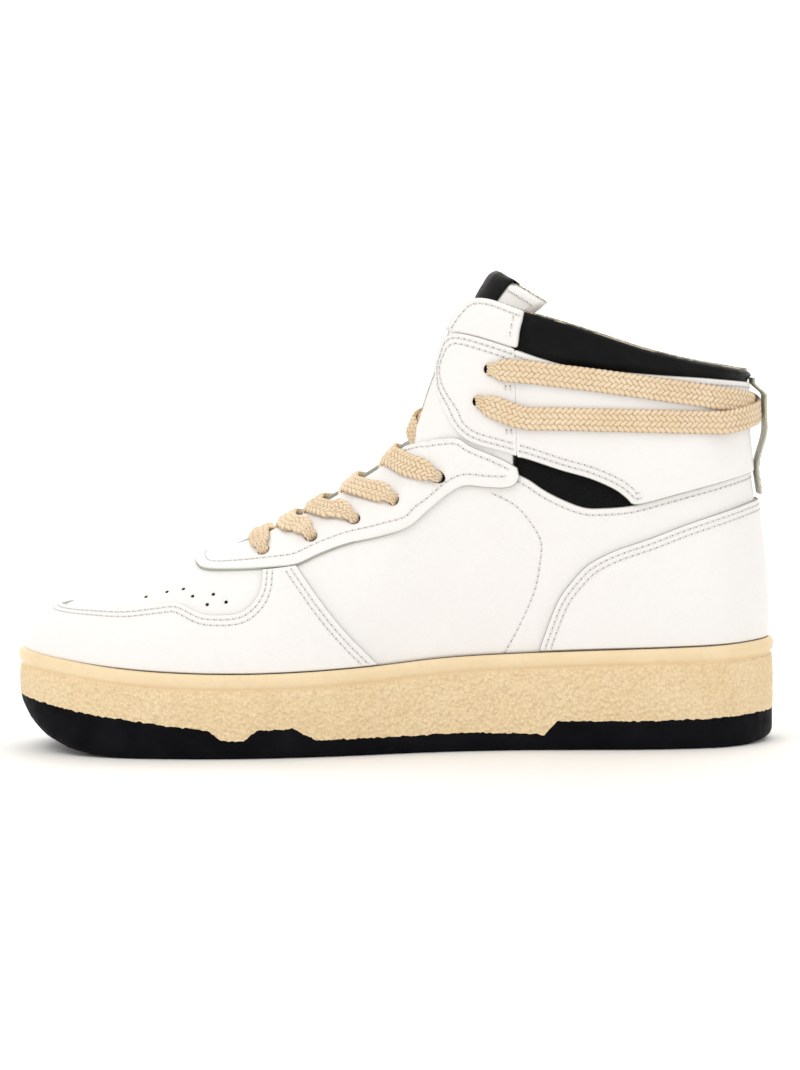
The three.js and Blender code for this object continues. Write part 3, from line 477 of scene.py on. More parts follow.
# %% Finishes
band_rubber = Finish("band_rubber", (0.82, 0.645, 0.395), 0.42, Specular_IOR_Level=0.45)
band_rubber.tint(band_rubber.grain(26), 0.35, 0.7, (0.86, 0.69, 0.45))
band_rubber.tint(band_rubber.grain(3.0), 0.55, 0.75, (0.75, 0.55, 0.31), 0, 0.35)
band_rubber.gloss(band_rubber.grain(8), 0.3, 0.7, 0.36, 0.55)
band_rubber.bump(band_rubber.grain(0.8), 0.02)

wall_rubber = Finish("wall_rubber", (0.87, 0.675, 0.41), 0.62, Specular_IOR_Level=0.35)
wall_rubber.tint(wall_rubber.grain(22), 0.35, 0.7, (0.91, 0.74, 0.48))
# Darker towards the edges of small cells: painted shade between the pebbles.
wall_rubber.tint(wall_rubber.cells(1.1), 0.25, 0.75, (0.66, 0.47, 0.26), 0, 0.45)
wall_rubber.bump(wall_rubber.cells(1.6), 0.85)
wall_rubber.bump(wall_rubber.grain(0.55, 4), 0.12)

sole_rubber = Finish("sole_rubber", (0.003, 0.003, 0.0045), 0.5, Specular_IOR_Level=0.05)
sole_rubber.tint(sole_rubber.grain(18), 0.4, 0.75, (0.007, 0.007, 0.009))
sole_rubber.gloss(sole_rubber.grain(5), 0.3, 0.7, 0.45, 0.68)
sole_rubber.bump(sole_rubber.grain(0.6, 4), 0.06)

LEATHER_WHITE = (0.872, 0.857, 0.845)
leather = Finish("white_leather", LEATHER_WHITE, 0.46, Specular_IOR_Level=0.4,
                 Sheen_Weight=0.05, Subsurface_Weight=0.0)
leather.tint(leather.grain(34), 0.38, 0.72, (0.89, 0.874, 0.862))
leather.tint(leather.grain(2.2, 5), 0.52, 0.8, (0.83, 0.815, 0.805), 0, 0.5)
# Darker in the creases of the grain: painted shade.
leather.tint(leather.cells(0.55, "DISTANCE_TO_EDGE"), 0.02, 0.10, (0.70, 0.68, 0.67), 0.22, 0)
leather.gloss(leather.grain(12), 0.3, 0.7, 0.40, 0.55)
leather.bump(leather.cells(0.55, "DISTANCE_TO_EDGE"), 0.03)
leather.bump(leather.grain(1.7, 5), 0.045)
leather.bump(leather.grain(9), 0.10)

cut_edge = Finish("cut_edge", (0.36, 0.375, 0.345), 0.9)
cut_edge.tint(cut_edge.grain(0.7, 5), 0.4, 0.7, (0.56, 0.56, 0.52))
cut_edge.bump(cut_edge.grain(0.35, 4), 0.10)

thread = Finish("white_thread", (0.78, 0.76, 0.745), 0.75, Sheen_Weight=0.2)
thread.tint(thread.grain(0.25), 0.4, 0.65, (0.62, 0.605, 0.59))
thread.bump(thread.grain(0.2), 0.05)

# The needle holes are real, but their dark colour is painted shade inside them.
needle_hole_shade = Finish("needle_hole_shade", (0.27, 0.26, 0.25), 0.9)
needle_hole_shade.tint(needle_hole_shade.grain(0.5), 0.4, 0.7, (0.42, 0.41, 0.40))

# Hole walls are coloured near black: painted shade inside the vents and lace holes.
hole_inner_shade = Finish("hole_wall_shade", (0.10, 0.095, 0.09), 0.9)
hole_inner_shade.tint(hole_inner_shade.grain(0.6), 0.4, 0.7, (0.22, 0.21, 0.2))
hole_inner_shade.bump(hole_inner_shade.grain(0.4), 0.05)

# %% [markdown]
# ## The cup sole
# On a real cup sole one moulding gives the wall, a groove and the rounded band. It is a profile
# swept round the outline, so it could be a curve with a bevel. Here the profile changes along
# the shoe, so the rings are computed: each ring has an inset from the edge and a height. The
# pebble is real relief: every point of the wall is pushed in or out by noise.

# %% Cup sole
COLOUR_LINE = [[-160, 22], [-150, 21.8], [-138, 20], [-117, 16.6], [-97, 14.2], [-78, 12.1],
               [-73, 11.4], [-67.5, 7.6], [-59, 7], [-54, 11.1], [-40, 11.5], [-31, 6.9], [0, 7],
               [28, 7.6], [57, 6.4], [62, 11.6], [100, 11.5], [135, 12.3], [160, 13]]
GROUND = [[-151, 19.5], [-145, 12], [-137, 6.6], [-128, 2.8], [-118, 0.7], [-108, 0],
          [0, 0], [140, 0], [151, 1.5]]
BEAD = 6.0                     # height of the rounded band
SOLE_STEP = 0.75               # spacing of the points round the sole
line_x, line_z = np.array(COLOUR_LINE, float).T
ground_x, ground_z = np.array(GROUND, float).T


def even_steps(step):
    """Station values that put points the same distance apart round the sole."""
    t = np.linspace(0, COUNT, 6001)
    run = length_along(sole_point(t, 0))
    count = int(round(run[-1] / step))
    return np.interp(np.linspace(0, run[-1], count, endpoint=False), run, t)


sole_t = even_steps(SOLE_STEP)
columns = len(sole_t)
outer = sole_point(sole_t, 0)
jag = (0.45 * rough(np.c_[outer, np.zeros(columns)], 1.6, 1)
       + 0.35 * rough(np.c_[outer, np.zeros(columns)], 0.8, 2))
joint_z = np.interp(outer[:, 0], line_x, line_z) + jag
rim_z = rim_at(outer[:, 0])


def sole_rings(profile):
    """profile holds (inset, height per column)."""
    return [np.c_[sole_point(sole_t, inset), height * np.ones(columns)]
            for inset, height in profile]


wall_top = rim_z - BEAD - 1.0
WALL_ROWS = 34
wall_profile = []
for k in range(WALL_ROWS + 1):
    f = k / WALL_ROWS
    belly = 0.62 - 0.25 * math.sin(math.pi * f) ** 0.7
    wall_profile.append((belly, joint_z + (wall_top - joint_z) * f))
wall = sole_rings(wall_profile)
outwards = np.c_[edge_normal(sole_t), np.zeros(columns)]
for k, ring in enumerate(wall):
    fade = min(1, k / 1.5, (WALL_ROWS - k) / 3)
    relief = 0.17 * rough(ring, 1.25, 3) + 0.13 * rough(ring, 0.62, 4)
    wall[k] = ring + outwards * (relief * fade)[:, None]

arc = [(0.75, -BEAD - 0.75), (1.15, -BEAD - 0.45), (1.5, -BEAD - 0.05), (1.35, -BEAD + 0.35),
       (0.95, -BEAD + 0.6), (0.55, -BEAD + 1.1), (0.22, -BEAD + 1.9), (0.05, -BEAD + 2.9),
       (0.05, -BEAD + 3.7), (0.2, -1.5), (0.5, -0.85), (0.95, -0.35), (1.5, -0.08), (2.1, 0),
       (2.8, -0.1), (3.3, -0.45), (3.55, -1.2), (3.6, -4)]
band = sole_rings([(inset, rim_z + drop) for inset, drop in arc])
rings = wall + band
cup_faces = grid_faces(len(rings), columns, wrap=True)
cup_finish = (np.arange(len(cup_faces)) // columns >= WALL_ROWS + 2).astype(int)
cup = piece("cup_sole", np.concatenate(rings), cup_faces, [wall_rubber, band_rubber],
            slot="cream_rubber", nodes=["cupsole"], face_finish=cup_finish)

# %% [markdown]
# ## The black outsole
# The outsole is pressed against the cup, so its top edge follows the wall's lower edge exactly,
# with the same tiny bites. Underneath it carries chevron grooves. The flat bottom is a net of
# small triangles, because grooves need points along their edges.

# %% Outsole
TREAD = 1.4
TREAD_STARTS = [-96, -84, -72, -60, -48, -36, 66, 78, 90, 102, 114]
under_z = np.interp(outer[:, 0], ground_x, ground_z)
side_profile = [(4.5, under_z), (3.2, under_z + 0.15), (2.2, under_z + 0.5), (1.4, under_z + 1.2),
                (0.95, under_z + 2.2), (0.7, under_z + 3.4)]
low_side = np.minimum(under_z + 3.4, joint_z - 0.4)
side_profile = [(i, np.minimum(z, low_side)) for i, z in side_profile]
for f in (0.2, 0.4, 0.6, 0.8, 1.0):
    side_profile.append((0.66, low_side + (joint_z - low_side) * f))
side = sole_rings(side_profile)
side[-1] = wall[0].copy()
side.append(side[-1] - outwards * 1.2)


def tread_depth(x, y):
    """How deep the chevron grooves are at a place under the sole."""
    depth = np.zeros_like(x)
    for start in TREAD_STARTS:
        into = x - (start + 9 * np.abs(y) / 34)
        depth = np.maximum(depth, smooth(0, 0.7, into) * (1 - smooth(2.3, 3.0, into)))
    ripple = smooth(0.25, 0.6, np.abs(np.sin((x + 9 * np.abs(y) / 34) * math.pi / 4)))
    depth = np.maximum(depth, 0.22 * (1 - ripple))
    return TREAD * depth


def inside_loop(points, loop):
    """Which points lie inside a closed loop."""
    x, y = points[:, 0:1], points[:, 1:2]
    x1, y1 = loop[:, 0], loop[:, 1]
    x2, y2 = np.roll(x1, -1), np.roll(y1, -1)
    with np.errstate(divide="ignore", invalid="ignore"):
        cross = (y1 > y) != (y2 > y)
        at = x1 + (y - y1) * (x2 - x1) / np.where(y2 == y1, 1e-12, y2 - y1)
    return (np.sum(cross & (x < at), axis=1) % 2) == 1


def fill(loop, inner, holes=()):
    """Triangles between a loop, its inner points and round holes, in a flat drawing."""
    points = [tuple(p) for p in loop]
    edges = [(i, (i + 1) % len(loop)) for i in range(len(loop))]
    for hole in holes:
        start = len(points)
        points += [tuple(p) for p in hole]
        edges += [(start + i, start + (i + 1) % len(hole)) for i in range(len(hole))]
    points += [tuple(p) for p in inner]
    done = geometry.delaunay_2d_cdt([Vector(p) for p in points], edges, [], 0, 1e-6)
    flat = np.array([tuple(v) for v in done[0]])
    triangles = np.array([f for f in done[2] if len(f) == 3])
    middle = flat[triangles].mean(axis=1)
    keep = inside_loop(middle, np.asarray(loop))
    for hole in holes:
        keep &= ~inside_loop(middle, np.asarray(hole))
    where = {}
    for new, olds in enumerate(done[3]):
        for old in olds:
            where[old] = new
    return flat, triangles[keep], where


ring_in = side[0][:, :2]
step = 1.3
gx, gy = np.meshgrid(np.arange(-150, 150, step), np.arange(-60, 66, step * 1.6), indexing="ij")
lattice = np.c_[gx.ravel(), gy.ravel()]
lattice = lattice[inside_loop(lattice, sole_point(even_steps(3), 5.6))]
flat, triangles, where = fill(ring_in[::2], lattice)
shade = tread_depth(flat[:, 0], flat[:, 1] + SHIFT_Y)
level = np.interp(flat[:, 0], ground_x, ground_z)
on_ring = {where[i] for i in range(len(ring_in[::2]))}
shade[list(on_ring)] = 0
bottom = np.c_[flat, level + shade]
side_points = np.concatenate(side)
side_faces = grid_faces(len(side), columns, wrap=True)
outsole = piece("black_outsole", np.concatenate([side_points, bottom]),
                [*side_faces.tolist(), *(triangles + len(side_points)).tolist()],
                [sole_rubber], slot="black_rubber", nodes=["outsole"])
face_outwards(outsole)
face_outwards(cup)

# %% [markdown]
# ## Drawing seams on the last
# A pattern cutter draws a panel from the side, so the seams are side-view curves. To cut a
# panel, each seam is carried onto the last: for every point of the curve the nearest place
# (t, h) is searched in ever smaller steps. Where a seam wraps the toe or the heel, the side
# view says nothing about t, so there each station is asked at which height it meets the curve.

# %% From side view to last
def drawn(points, step=1.2):
    """A side-view seam as a smooth chain of points."""
    p = np.array(points, float)
    run = length_along(p)
    q = np.vstack([2 * p[0] - p[1], p, 2 * p[-1] - p[-2]])
    out = []
    for i in range(len(p) - 1):
        a, b, c, d = q[i:i + 4]
        count = max(1, int((run[i + 1] - run[i]) / step))
        for f in np.arange(count) / count:
            out.append(0.5 * (2 * b + (c - a) * f + (2 * a - 5 * b + 4 * c - d) * f * f
                              + (3 * b - a - 3 * c + d) * f**3))
    return np.array(out + [p[-1]])


coarse_t, coarse_h = np.meshgrid(np.arange(0, COUNT + 0.01, 0.2), np.arange(0, 1.001, 0.025),
                                 indexing="ij")
coarse = surface(coarse_t, coarse_h)[..., [0, 2]]


def on_last(points, side, far=1.5):
    """(t, h) of side-view points on one side; points off the leather by more than far go."""
    points = np.atleast_2d(np.array(points, float))
    half = coarse_t <= TOE if side < 0 else coarse_t >= TOE
    tt, hh, cc = coarse_t[half], coarse_h[half], coarse[half]
    gap = np.linalg.norm(points[:, None] - cc[None], axis=-1)
    best = gap.argmin(1)
    t, h, d = tt[best], hh[best], gap.min(1)
    step = 0.1
    moves = [(a, b) for a in (-1, 0, 1) for b in (-1, 0, 1) if a or b]
    low, high = (0, TOE) if side < 0 else (TOE, COUNT)
    while step > 0.0008:
        better = False
        for a, b in moves:
            t2, h2 = np.clip(t + a * step, low, high), np.clip(h + b * step * 0.3, 0, 1)
            d2 = np.linalg.norm(surface(t2, h2)[:, [0, 2]] - points, axis=-1)
            win = d2 < d - 1e-9
            better = better or win.any()
            t, h, d = np.where(win, t2, t), np.where(win, h2, h), np.where(win, d2, d)
        if not better:
            step /= 2
    keep = d < far
    return np.c_[t, h][keep]


def heights(curve, t):
    """Where each station first meets a side-view curve that has one height for each x."""
    curve = np.array(sorted(curve), float)
    h = np.linspace(0, 1, 241)
    p = surface(np.asarray(t)[:, None], h[None])
    over = p[..., 2] - np.interp(p[..., 0], curve[:, 0], curve[:, 1])
    out = []
    for row in over:
        up = np.nonzero((row[:-1] < 0) & (row[1:] >= 0))[0]
        if len(up):
            i = up[0]
            out.append(h[i] + (h[1] - h[0]) * row[i] / (row[i] - row[i + 1]))
        else:
            out.append(np.nan)
    return np.array(out)


def settle(chain, step=1.0, rounds=2):
    """Evens out the spacing of a chain of (t, h) and takes out small shakes."""
    chain = np.asarray(chain, float)
    chain = chain[~np.isnan(chain).any(1)]
    for _ in range(rounds):
        chain[1:-1] = (chain[:-2] + 2 * chain[1:-1] + chain[2:]) / 4
    p = surface(chain[:, 0], chain[:, 1])
    run = length_along(p)
    keep = np.concatenate([[True], np.diff(run) > 1e-6])
    run, chain = run[keep], chain[keep]
    at = np.linspace(0, run[-1], max(2, int(round(run[-1] / step)) + 1))
    return np.c_[np.interp(at, run, chain[:, 0]), np.interp(at, run, chain[:, 1])]


def join(*chains):
    """One closed loop out of chains that follow each other."""
    out = [np.atleast_2d(chains[0])]
    for chain in chains[1:]:
        chain = np.atleast_2d(chain)
        gap = np.linalg.norm((out[-1][-1] - chain[0]) * [20, 90])
        out.append(chain[1:] if gap < 0.3 else chain)
    loop = np.vstack(out)
    if np.linalg.norm((loop[0] - loop[-1]) * [20, 90]) < 0.3:
        loop = loop[:-1]
    return loop


def rising(chain):
    """The same chain, starting at its lower end."""
    return chain if chain[0, 1] < chain[-1, 1] else chain[::-1]


def sole_line(first, last, count, h):
    """A chain at one height, close to the sole."""
    return np.c_[np.linspace(first, last, count), np.full(count, h)]


def straight(a, b, step=1.0):
    """A straight chain from one (t, h) to another."""
    return settle(np.linspace(a, b, 40), step, 0)


# %% Moving sideways on the leather
def slide(chain, distance, closed=False):
    """Moves a chain of (t, h) to its left along the leather by distance millimetres."""
    t, h = chain[:, 0], chain[:, 1]
    p = surface(t, h)
    if closed:
        run = np.roll(p, -1, 0) - np.roll(p, 1, 0)
    else:
        run = np.gradient(p, axis=0)
    run /= np.linalg.norm(run, axis=1, keepdims=True) + 1e-12
    left = np.cross(run, normal(t, h))
    e = 1e-3
    a = (surface(t + e, h) - surface(t - e, h)) / (2 * e)
    b = (surface(t, h + e) - surface(t, h - e)) / (2 * e)
    move = left * distance
    aa, ab, bb = (a * a).sum(1), (a * b).sum(1), (b * b).sum(1)
    am, bm = (a * move).sum(1), (b * move).sum(1)
    det = aa * bb - ab * ab
    return chain + np.c_[(am * bb - bm * ab) / det, (bm * aa - am * ab) / det]


def area(loop):
    x, y = loop.T
    return 0.5 * np.sum(x * np.roll(y, -1) - np.roll(x, -1) * y)


def tree_of(points):
    tree = kdtree.KDTree(len(points))
    for i, p in enumerate(points):
        tree.insert(p, i)
    tree.balance()
    return tree


def distance_to(tree, points):
    return np.array([tree.find(p)[2] for p in points])


# %% [markdown]
# ## One recipe for every leather panel
# Real panels share a build: a flat cut, an edge that is a little rounded, a raw side that shows
# the hide's core, and stitch rows that pull the leather down. So one function makes them all. It
# fills the panel's outline on the last with triangles, packed closely along the edge where the
# leather bends, then raises each point by a height that depends on its distance to the edge and
# to the stitches.

# %% Panel recipe
FLAT = np.array([20.0, 90.0])        # turns (t, h) into a drawing in rough millimetres
EDGE_ROUND = 0.75
STITCH_PULL = 0.2
RAW_EDGE = 0.35                      # how much of the grey core shows beside the coat


def edge_height(d, top, drop=0.6):
    inner = np.clip(1 - d / EDGE_ROUND, 0, 1)
    return top - drop * (1 - np.sqrt(np.clip(1 - inner**2, 0, 1)))


def circle_on(place, radius, count=26):
    """A round hole on the last, as a loop of (t, h)."""
    t, h = place
    e = 1e-3
    a = (surface(t + e, h) - surface(t - e, h)) / (2 * e)
    b = (surface(t, h + e) - surface(t, h - e)) / (2 * e)
    n = normal(t, h)
    x = a / np.linalg.norm(a)
    y = np.cross(n, x)
    turn = np.linspace(0, 2 * math.pi, count, endpoint=False)
    move = radius * (np.cos(turn)[:, None] * x + np.sin(turn)[:, None] * y)
    basis = np.stack([a, b], 1)
    return np.array([t, h]) + move @ np.linalg.pinv(basis).T


def panel(name, loop, top, low, rows=(), holes=(), puff=0.0, spread=8.0, creases=0.06,
          finish=None, edge=None, mesh_step=2.6, rings=(0.3, 0.75, 1.4, 2.0, 2.7, 3.4, 4.1, 5.0),
          seed=1, flush=None, **ride):
    """A leather panel on the last. rows are stitch rows that pull it down."""
    sign = 1 if area(loop * FLAT) > 0 else -1
    outline = surface(loop[:, 0], loop[:, 1])
    edge_tree = tree_of(outline)
    near = [slide(loop, sign * d, closed=True) for d in rings]
    extra = []
    for d, ring in zip(rings, near):
        far = distance_to(edge_tree, surface(ring[:, 0], ring[:, 1]))
        extra.append(ring[far > d * 0.82][::1 if d < 3 else 2])
    dt = mesh_step / 21
    dh = mesh_step / 95
    t0, h0 = loop.min(0)
    t1, h1 = loop.max(0)
    gt, gh = np.meshgrid(np.arange(t0, t1, dt), np.arange(h0, h1, dh), indexing="ij")
    inner = np.c_[gt.ravel(), gh.ravel()]
    inner = inner[inside_loop(inner, loop)]
    reach = distance_to(edge_tree, surface(inner[:, 0], inner[:, 1]))
    extra.append(inner[reach > rings[-1] + mesh_step * 0.4])
    for row in rows:
        for d in (-0.7, 0, 0.7):
            extra.append(slide(row, d))
    extra = np.vstack(extra)
    rims = [circle_on(place, radius) for place, radius in holes]
    for place, radius in holes:
        around = np.vstack([circle_on(place, radius + 0.5), circle_on(place, radius + 1.1)])
        middle = surface(*place)
        gone = np.linalg.norm(surface(extra[:, 0], extra[:, 1]) - middle, axis=1) < radius + 1.5
        extra = np.vstack([extra[~gone], around])
    extra = extra[inside_loop(extra, loop)]
    flat, triangles, where = fill(loop * FLAT, extra * FLAT, [r * FLAT for r in rims])
    th = flat / FLAT
    ground = surface(th[:, 0], th[:, 1])
    d = distance_to(edge_tree, ground)
    height = edge_height(d, top) + puff * smooth(0.5, spread, d)
    if rows:
        pulled = distance_to(tree_of(np.vstack([surface(r[:, 0], r[:, 1]) for r in rows])), ground)
        height -= STITCH_PULL * np.exp(-(pulled / 0.75)**2)
    for place, radius in holes:
        round_hole = np.linalg.norm(ground - surface(*place), axis=1) - radius
        height -= 0.5 * np.exp(-(np.maximum(round_hole, 0) / 0.6)**2)
    if creases:
        height += creases * rough(ground, 14, seed) * smooth(0, 4, d)
        height += creases * 0.5 * rough(ground, 5, seed + 3) * smooth(0, 3, d)
    if flush is not None:
        height += flush(ground[:, 0]) * (top - edge_height(d, top))
    out = normal(th[:, 0], th[:, 1])
    points = [ground + out * height[:, None]]
    faces = triangles.tolist()
    bare = d < RAW_EDGE if flush is None else (d < RAW_EDGE) & (flush(ground[:, 0]) < 0.5)
    kinds = bare[triangles].all(1).astype(int).tolist()
    start = len(ground)
    first = 0
    for ring, floor_height, kind in [(loop, low, 1)] + [(r, low - 1.2, 2) for r in rims]:
        top_ids = [where[first + i] for i in range(len(ring))]
        first += len(ring)
        here, out_here = ground[top_ids], out[top_ids]
        top_height = height[top_ids]
        levels = (0.0, 0.5, 1.0)
        strip = [here + out_here * (top_height * (1 - f) + floor_height * f)[:, None]
                 for f in levels]
        points.append(np.concatenate(strip))
        quads = grid_faces(len(levels), len(ring), wrap=True, start=start)
        faces += quads.tolist()
        kinds += [kind] * len(quads)
        start += len(levels) * len(ring)
    # The third finish, near black, is painted shade on the walls of the holes.
    finishes = [finish or leather, edge or cut_edge, hole_inner_shade]
    made = piece(name, np.concatenate(points), faces, finishes, face_finish=kinds, **ride)
    face_outwards(made)
    return made


# %% [markdown]
# ## Stitches
# A stitch is a short piece of thread that dives into the leather at both ends. Thousands are
# needed, so one stitch is shaped once and copied along each row by its direction and the
# leather's normal. A small dark cone sits at every end for the needle hole; its dark colour is
# painted shade.

# %% Stitch recipe
PITCH = 2.45
STITCH = 1.65
THREAD_R = 0.27


def stitch_shape():
    points, faces = [], []
    along = np.linspace(-1, 1, 7)
    for s in along:
        thick = THREAD_R * math.sqrt(max(0.1, 1 - (0.92 * s)**2))
        rise = 0.10 - 0.34 * s**4
        for k in range(6):
            turn = k * math.pi / 3
            points.append((s * STITCH / 2, thick * math.cos(turn), rise + thick * math.sin(turn)))
    faces = grid_faces(7, 6, wrap=True).tolist()
    return np.array(points), faces


def hole_shape():
    """One needle hole: a small flat cone that points into the leather; its dark finish is painted
    shade.
    """
    turn = np.linspace(0, 2 * math.pi, 7)[:-1]
    ring = np.c_[0.36 * np.cos(turn), 0.3 * np.sin(turn), np.zeros(6)]
    return np.vstack([ring, [0, 0, -0.12]]), [[i, (i + 1) % 6, 6] for i in range(6)]


def stitches(name, rows, height, body="shoe", place=None, slot="white_leather"):
    """Copies the stitch along rows of (t, h), or along the chains that place works out."""
    thread_points, thread_faces = stitch_shape()
    hole_points, hole_faces = hole_shape()
    points, faces, kinds, start = [], [], [], 0
    twist = np.array(Matrix.Rotation(math.radians(5), 3, "Z")).T
    for row in rows:
        if place:
            p, n = place(*row)
        else:
            t, h = row[:, 0], row[:, 1]
            p, n = offset(t, h, np.full(len(row), height)), normal(t, h)
        run = length_along(p)
        count = int(run[-1] / PITCH)
        if count < 1:
            continue
        at = (np.arange(count) + 0.5) * run[-1] / count
        centre = np.stack([np.interp(at, run, p[:, k]) for k in range(3)], 1)
        up = np.stack([np.interp(at, run, n[:, k]) for k in range(3)], 1)
        before = np.stack([np.interp(at - 0.5, run, p[:, k]) for k in range(3)], 1)
        after = np.stack([np.interp(at + 0.5, run, p[:, k]) for k in range(3)], 1)
        go = after - before
        go /= np.linalg.norm(go, axis=1, keepdims=True) + 1e-9
        across = np.cross(up, go)
        across /= np.linalg.norm(across, axis=1, keepdims=True)
        up = np.cross(go, across)
        for i in range(count):
            frame_i = np.stack([go[i], across[i], up[i]])
            points.append(centre[i] + thread_points @ twist @ frame_i)
            faces += [[v + start for v in f] for f in thread_faces]
            kinds += [0] * len(thread_faces)
            start += len(thread_points)
            hole = centre[i] + go[i] * (STITCH / 2 + 0.12) + hole_points @ frame_i
            points.append(hole + up[i] * 0.03)
            faces += [[v + start for v in f] for f in hole_faces]
            kinds += [1] * len(hole_faces)
            start += len(hole_points)
    return piece(name, np.concatenate(points), faces, [thread, needle_hole_shade], body=body,
                 slot=slot, face_finish=kinds)

# %% [markdown]
# ## The seams
# These are the pattern's seams, as side-view points (x, z) in millimetres. Both sides of the
# shoe use the same drawing, and the last turns it into two different panels, because the foot
# isn't symmetric.

# %% Seams
TOE_SEAM = [[-160, 55], [-129.5, 54.4], [-115.6, 54.8], [-103.5, 55.3], [-91.5, 57],
            [-84.3, 58], [-79.4, 56.6], [-74.3, 54.5], [-67.7, 54.3], [-60, 55.2],
            [-54.7, 59], [-51.4, 64], [-51, 71]]
EYESTAY_EDGE = [[-81, 74.5], [-79, 72.3], [-74, 69.8], [-60, 70.2], [-43, 71.8], [-37, 72.9],
                [-29, 76.5], [-18, 80.5], [-4, 83.8], [5.6, 87.6], [13.6, 94.3], [21, 100.2],
                [27, 103], [35, 102.4], [43, 102.2], [47, 103.8], [48.8, 107.4]]
EYESTAY_BACK = [[47.6, 110], [43.8, 112.4], [37, 115.5], [29.2, 118.6], [24.9, 121.6],
                [17.8, 120.9], [10, 118.6], [2, 116.4]]
MUDGUARD_REAR = [[-38.4, 73], [-29.2, 59.9], [-19.7, 47.8], [-6.4, 33.6]]
QUARTER_TOP = [[48, 107.4], [52.5, 105], [58.3, 101], [65.7, 97.2], [73.7, 94.3], [81.1, 94.1],
               [88.9, 94.6], [95, 95.7], [110, 99.6], [126, 103.6], [137, 106.4], [165, 113]]
PANEL_LOW = [[47.3, 114.4], [52.3, 113.1], [64.1, 109.1], [75.7, 105.6], [84.9, 101.4],
             [89.9, 97.6], [93.5, 95.3], [110, 99.2], [126, 103.2], [137, 106], [165, 112.6]]
PANEL_TOP = [[165, 138], [141, 141.5], [120, 144], [102.8, 145.4], [83.6, 147.2],
             [69.9, 148.8], [58.6, 151.9], [48.5, 155.4]]
FLAP_FRONT = [[47, 114.8], [40.7, 116.7], [31, 119.4], [25.6, 122.6], [21.6, 127.6],
              [19.4, 134], [18.4, 141], [18.4, 149], [19.6, 155.5], [22.2, 159.8],
              [26.4, 161.4], [33.8, 160], [47, 156]]
FLAP_TOP = [[10, 163.5], [22.4, 162.2], [33.8, 160], [47, 156]]
HEEL_EDGE = [[54, 30], [55.2, 38], [58.9, 48.7], [63.3, 59.1], [69.4, 67.1], [74.9, 72.5],
             [84.8, 77.6], [98.6, 82.3], [113.9, 87.9], [130.4, 92.9], [141, 95.6], [165, 99]]
STRETCH_ROW = [[36.9, 100.5], [46.3, 95.7], [52.4, 88.9], [56.4, 81.7], [56.2, 74.2],
               [53.9, 62.3], [48, 49], [41.9, 38]]
ROWS = [[-50.5, 76.8], [-32.1, 82.5], [-15.6, 89.5], [0.4, 96.9], [16.6, 106.6]]
FLAP_HOLES = [[32.8, 135.6], [37.5, 148]]
VENTS = [[-125.9, 56.6], [-97, 60.4], [-88.7, 62.4], [-82.2, 63.6], [-78.4, 61.2], [-70.3, 62.1],
         [-72.6, 58.4], [-65.3, 59.4]]
RIM_H = 0.004                # panels end just behind the band of the sole
FLAP_X = 47.2
SEAM_STEP = 0.02
SIDES = {-1: "medial", 1: "lateral"}


def across_toe(curve, first, last, x_to):
    """A seam over the toe: (t, h) from station first to last, as far back as x_to."""
    t = np.arange(first, last + SEAM_STEP / 2, SEAM_STEP)
    chain = np.c_[t, heights(drawn(curve).tolist(), t)]
    chain = chain[~np.isnan(chain[:, 1])]
    x = surface(chain[:, 0], chain[:, 1])[:, 0]
    return settle(chain[x <= x_to])


def round_heel(curve, side, x_from, front=5.95):
    """A seam on one side, from the heel's centre forwards to x_from; lateral t is negative."""
    t = np.arange(0, front, SEAM_STEP)
    chain = np.c_[t, heights(drawn(curve).tolist(), -side * t)]
    chain = chain[~np.isnan(chain[:, 1])]
    chain[:, 0] *= -side
    x = surface(chain[:, 0], chain[:, 1])[:, 0]
    return settle(chain[x >= x_from])


def one_side(points, side, far=1.5):
    """A side-view seam on one side of the shoe; behind the ankle, lateral t is negative."""
    chain = on_last(drawn(points), side, far)
    if side > 0 and chain[:, 0].mean() > TOE + 8:
        chain[:, 0] -= COUNT
    return settle(chain)


def top_edge(first, last):
    """The top edge of the leather from one station to another."""
    t = np.linspace(first, last, max(3, int(abs(last - first) / 0.04)))
    return settle(np.c_[t, np.ones(len(t))], rounds=0)


def row_inside(chain, loop, distance, trim=0.0):
    """A stitch row beside a seam, on the panel's side of it."""
    for sign in (1, -1):
        row = slide(chain, sign * distance)
        if inside_loop(row[len(row) // 2:len(row) // 2 + 1], loop)[0]:
            break
    row = row[inside_loop(row, loop)]
    keep = int(trim)
    return settle(row[keep:len(row) - keep], 0.8)


# %% [markdown]
# ## Toe box and quarters
# These lie next to the foot. The toe box is the only perforated panel: its small round holes let
# the foot breathe. The quarters reach back to the heel and end in the curved edge under the
# ankle window.

# %% Toe box
x_split = -44
front = {s: rising(one_side([[x_split, 20], [x_split, 120]], s, 0.6)) for s in SIDES}
toe_loop = join(front[-1], top_edge(front[-1][-1, 0], front[1][-1, 0]), front[1][::-1],
                sole_line(front[1][0, 0], front[-1][0, 0], 320, 0.0))
vents = [(tuple(on_last([v], s, 9)[0]), 0.72) for s in SIDES for v in VENTS]
panel("toe_box_leather", toe_loop, BASE_TOP, -0.3, holes=vents, mesh_step=2.2, creases=0.09,
      seed=2, slot="white_leather", nodes=["toe_box"])

# %% Quarters
eyelet_spots = {s: [tuple(on_last([r], s, 9)[0]) for r in ROWS] for s in SIDES}
flap_spots = {s: [tuple(on_last([r], s, 9)[0]) for r in FLAP_HOLES] for s in SIDES}
HOLE_R = 2.5


def wrap_rear(chain, side):
    """Lateral places are counted below zero, so that the heel is in one piece."""
    chain = np.array(chain, float)
    return chain if side < 0 else chain - [COUNT, 0]


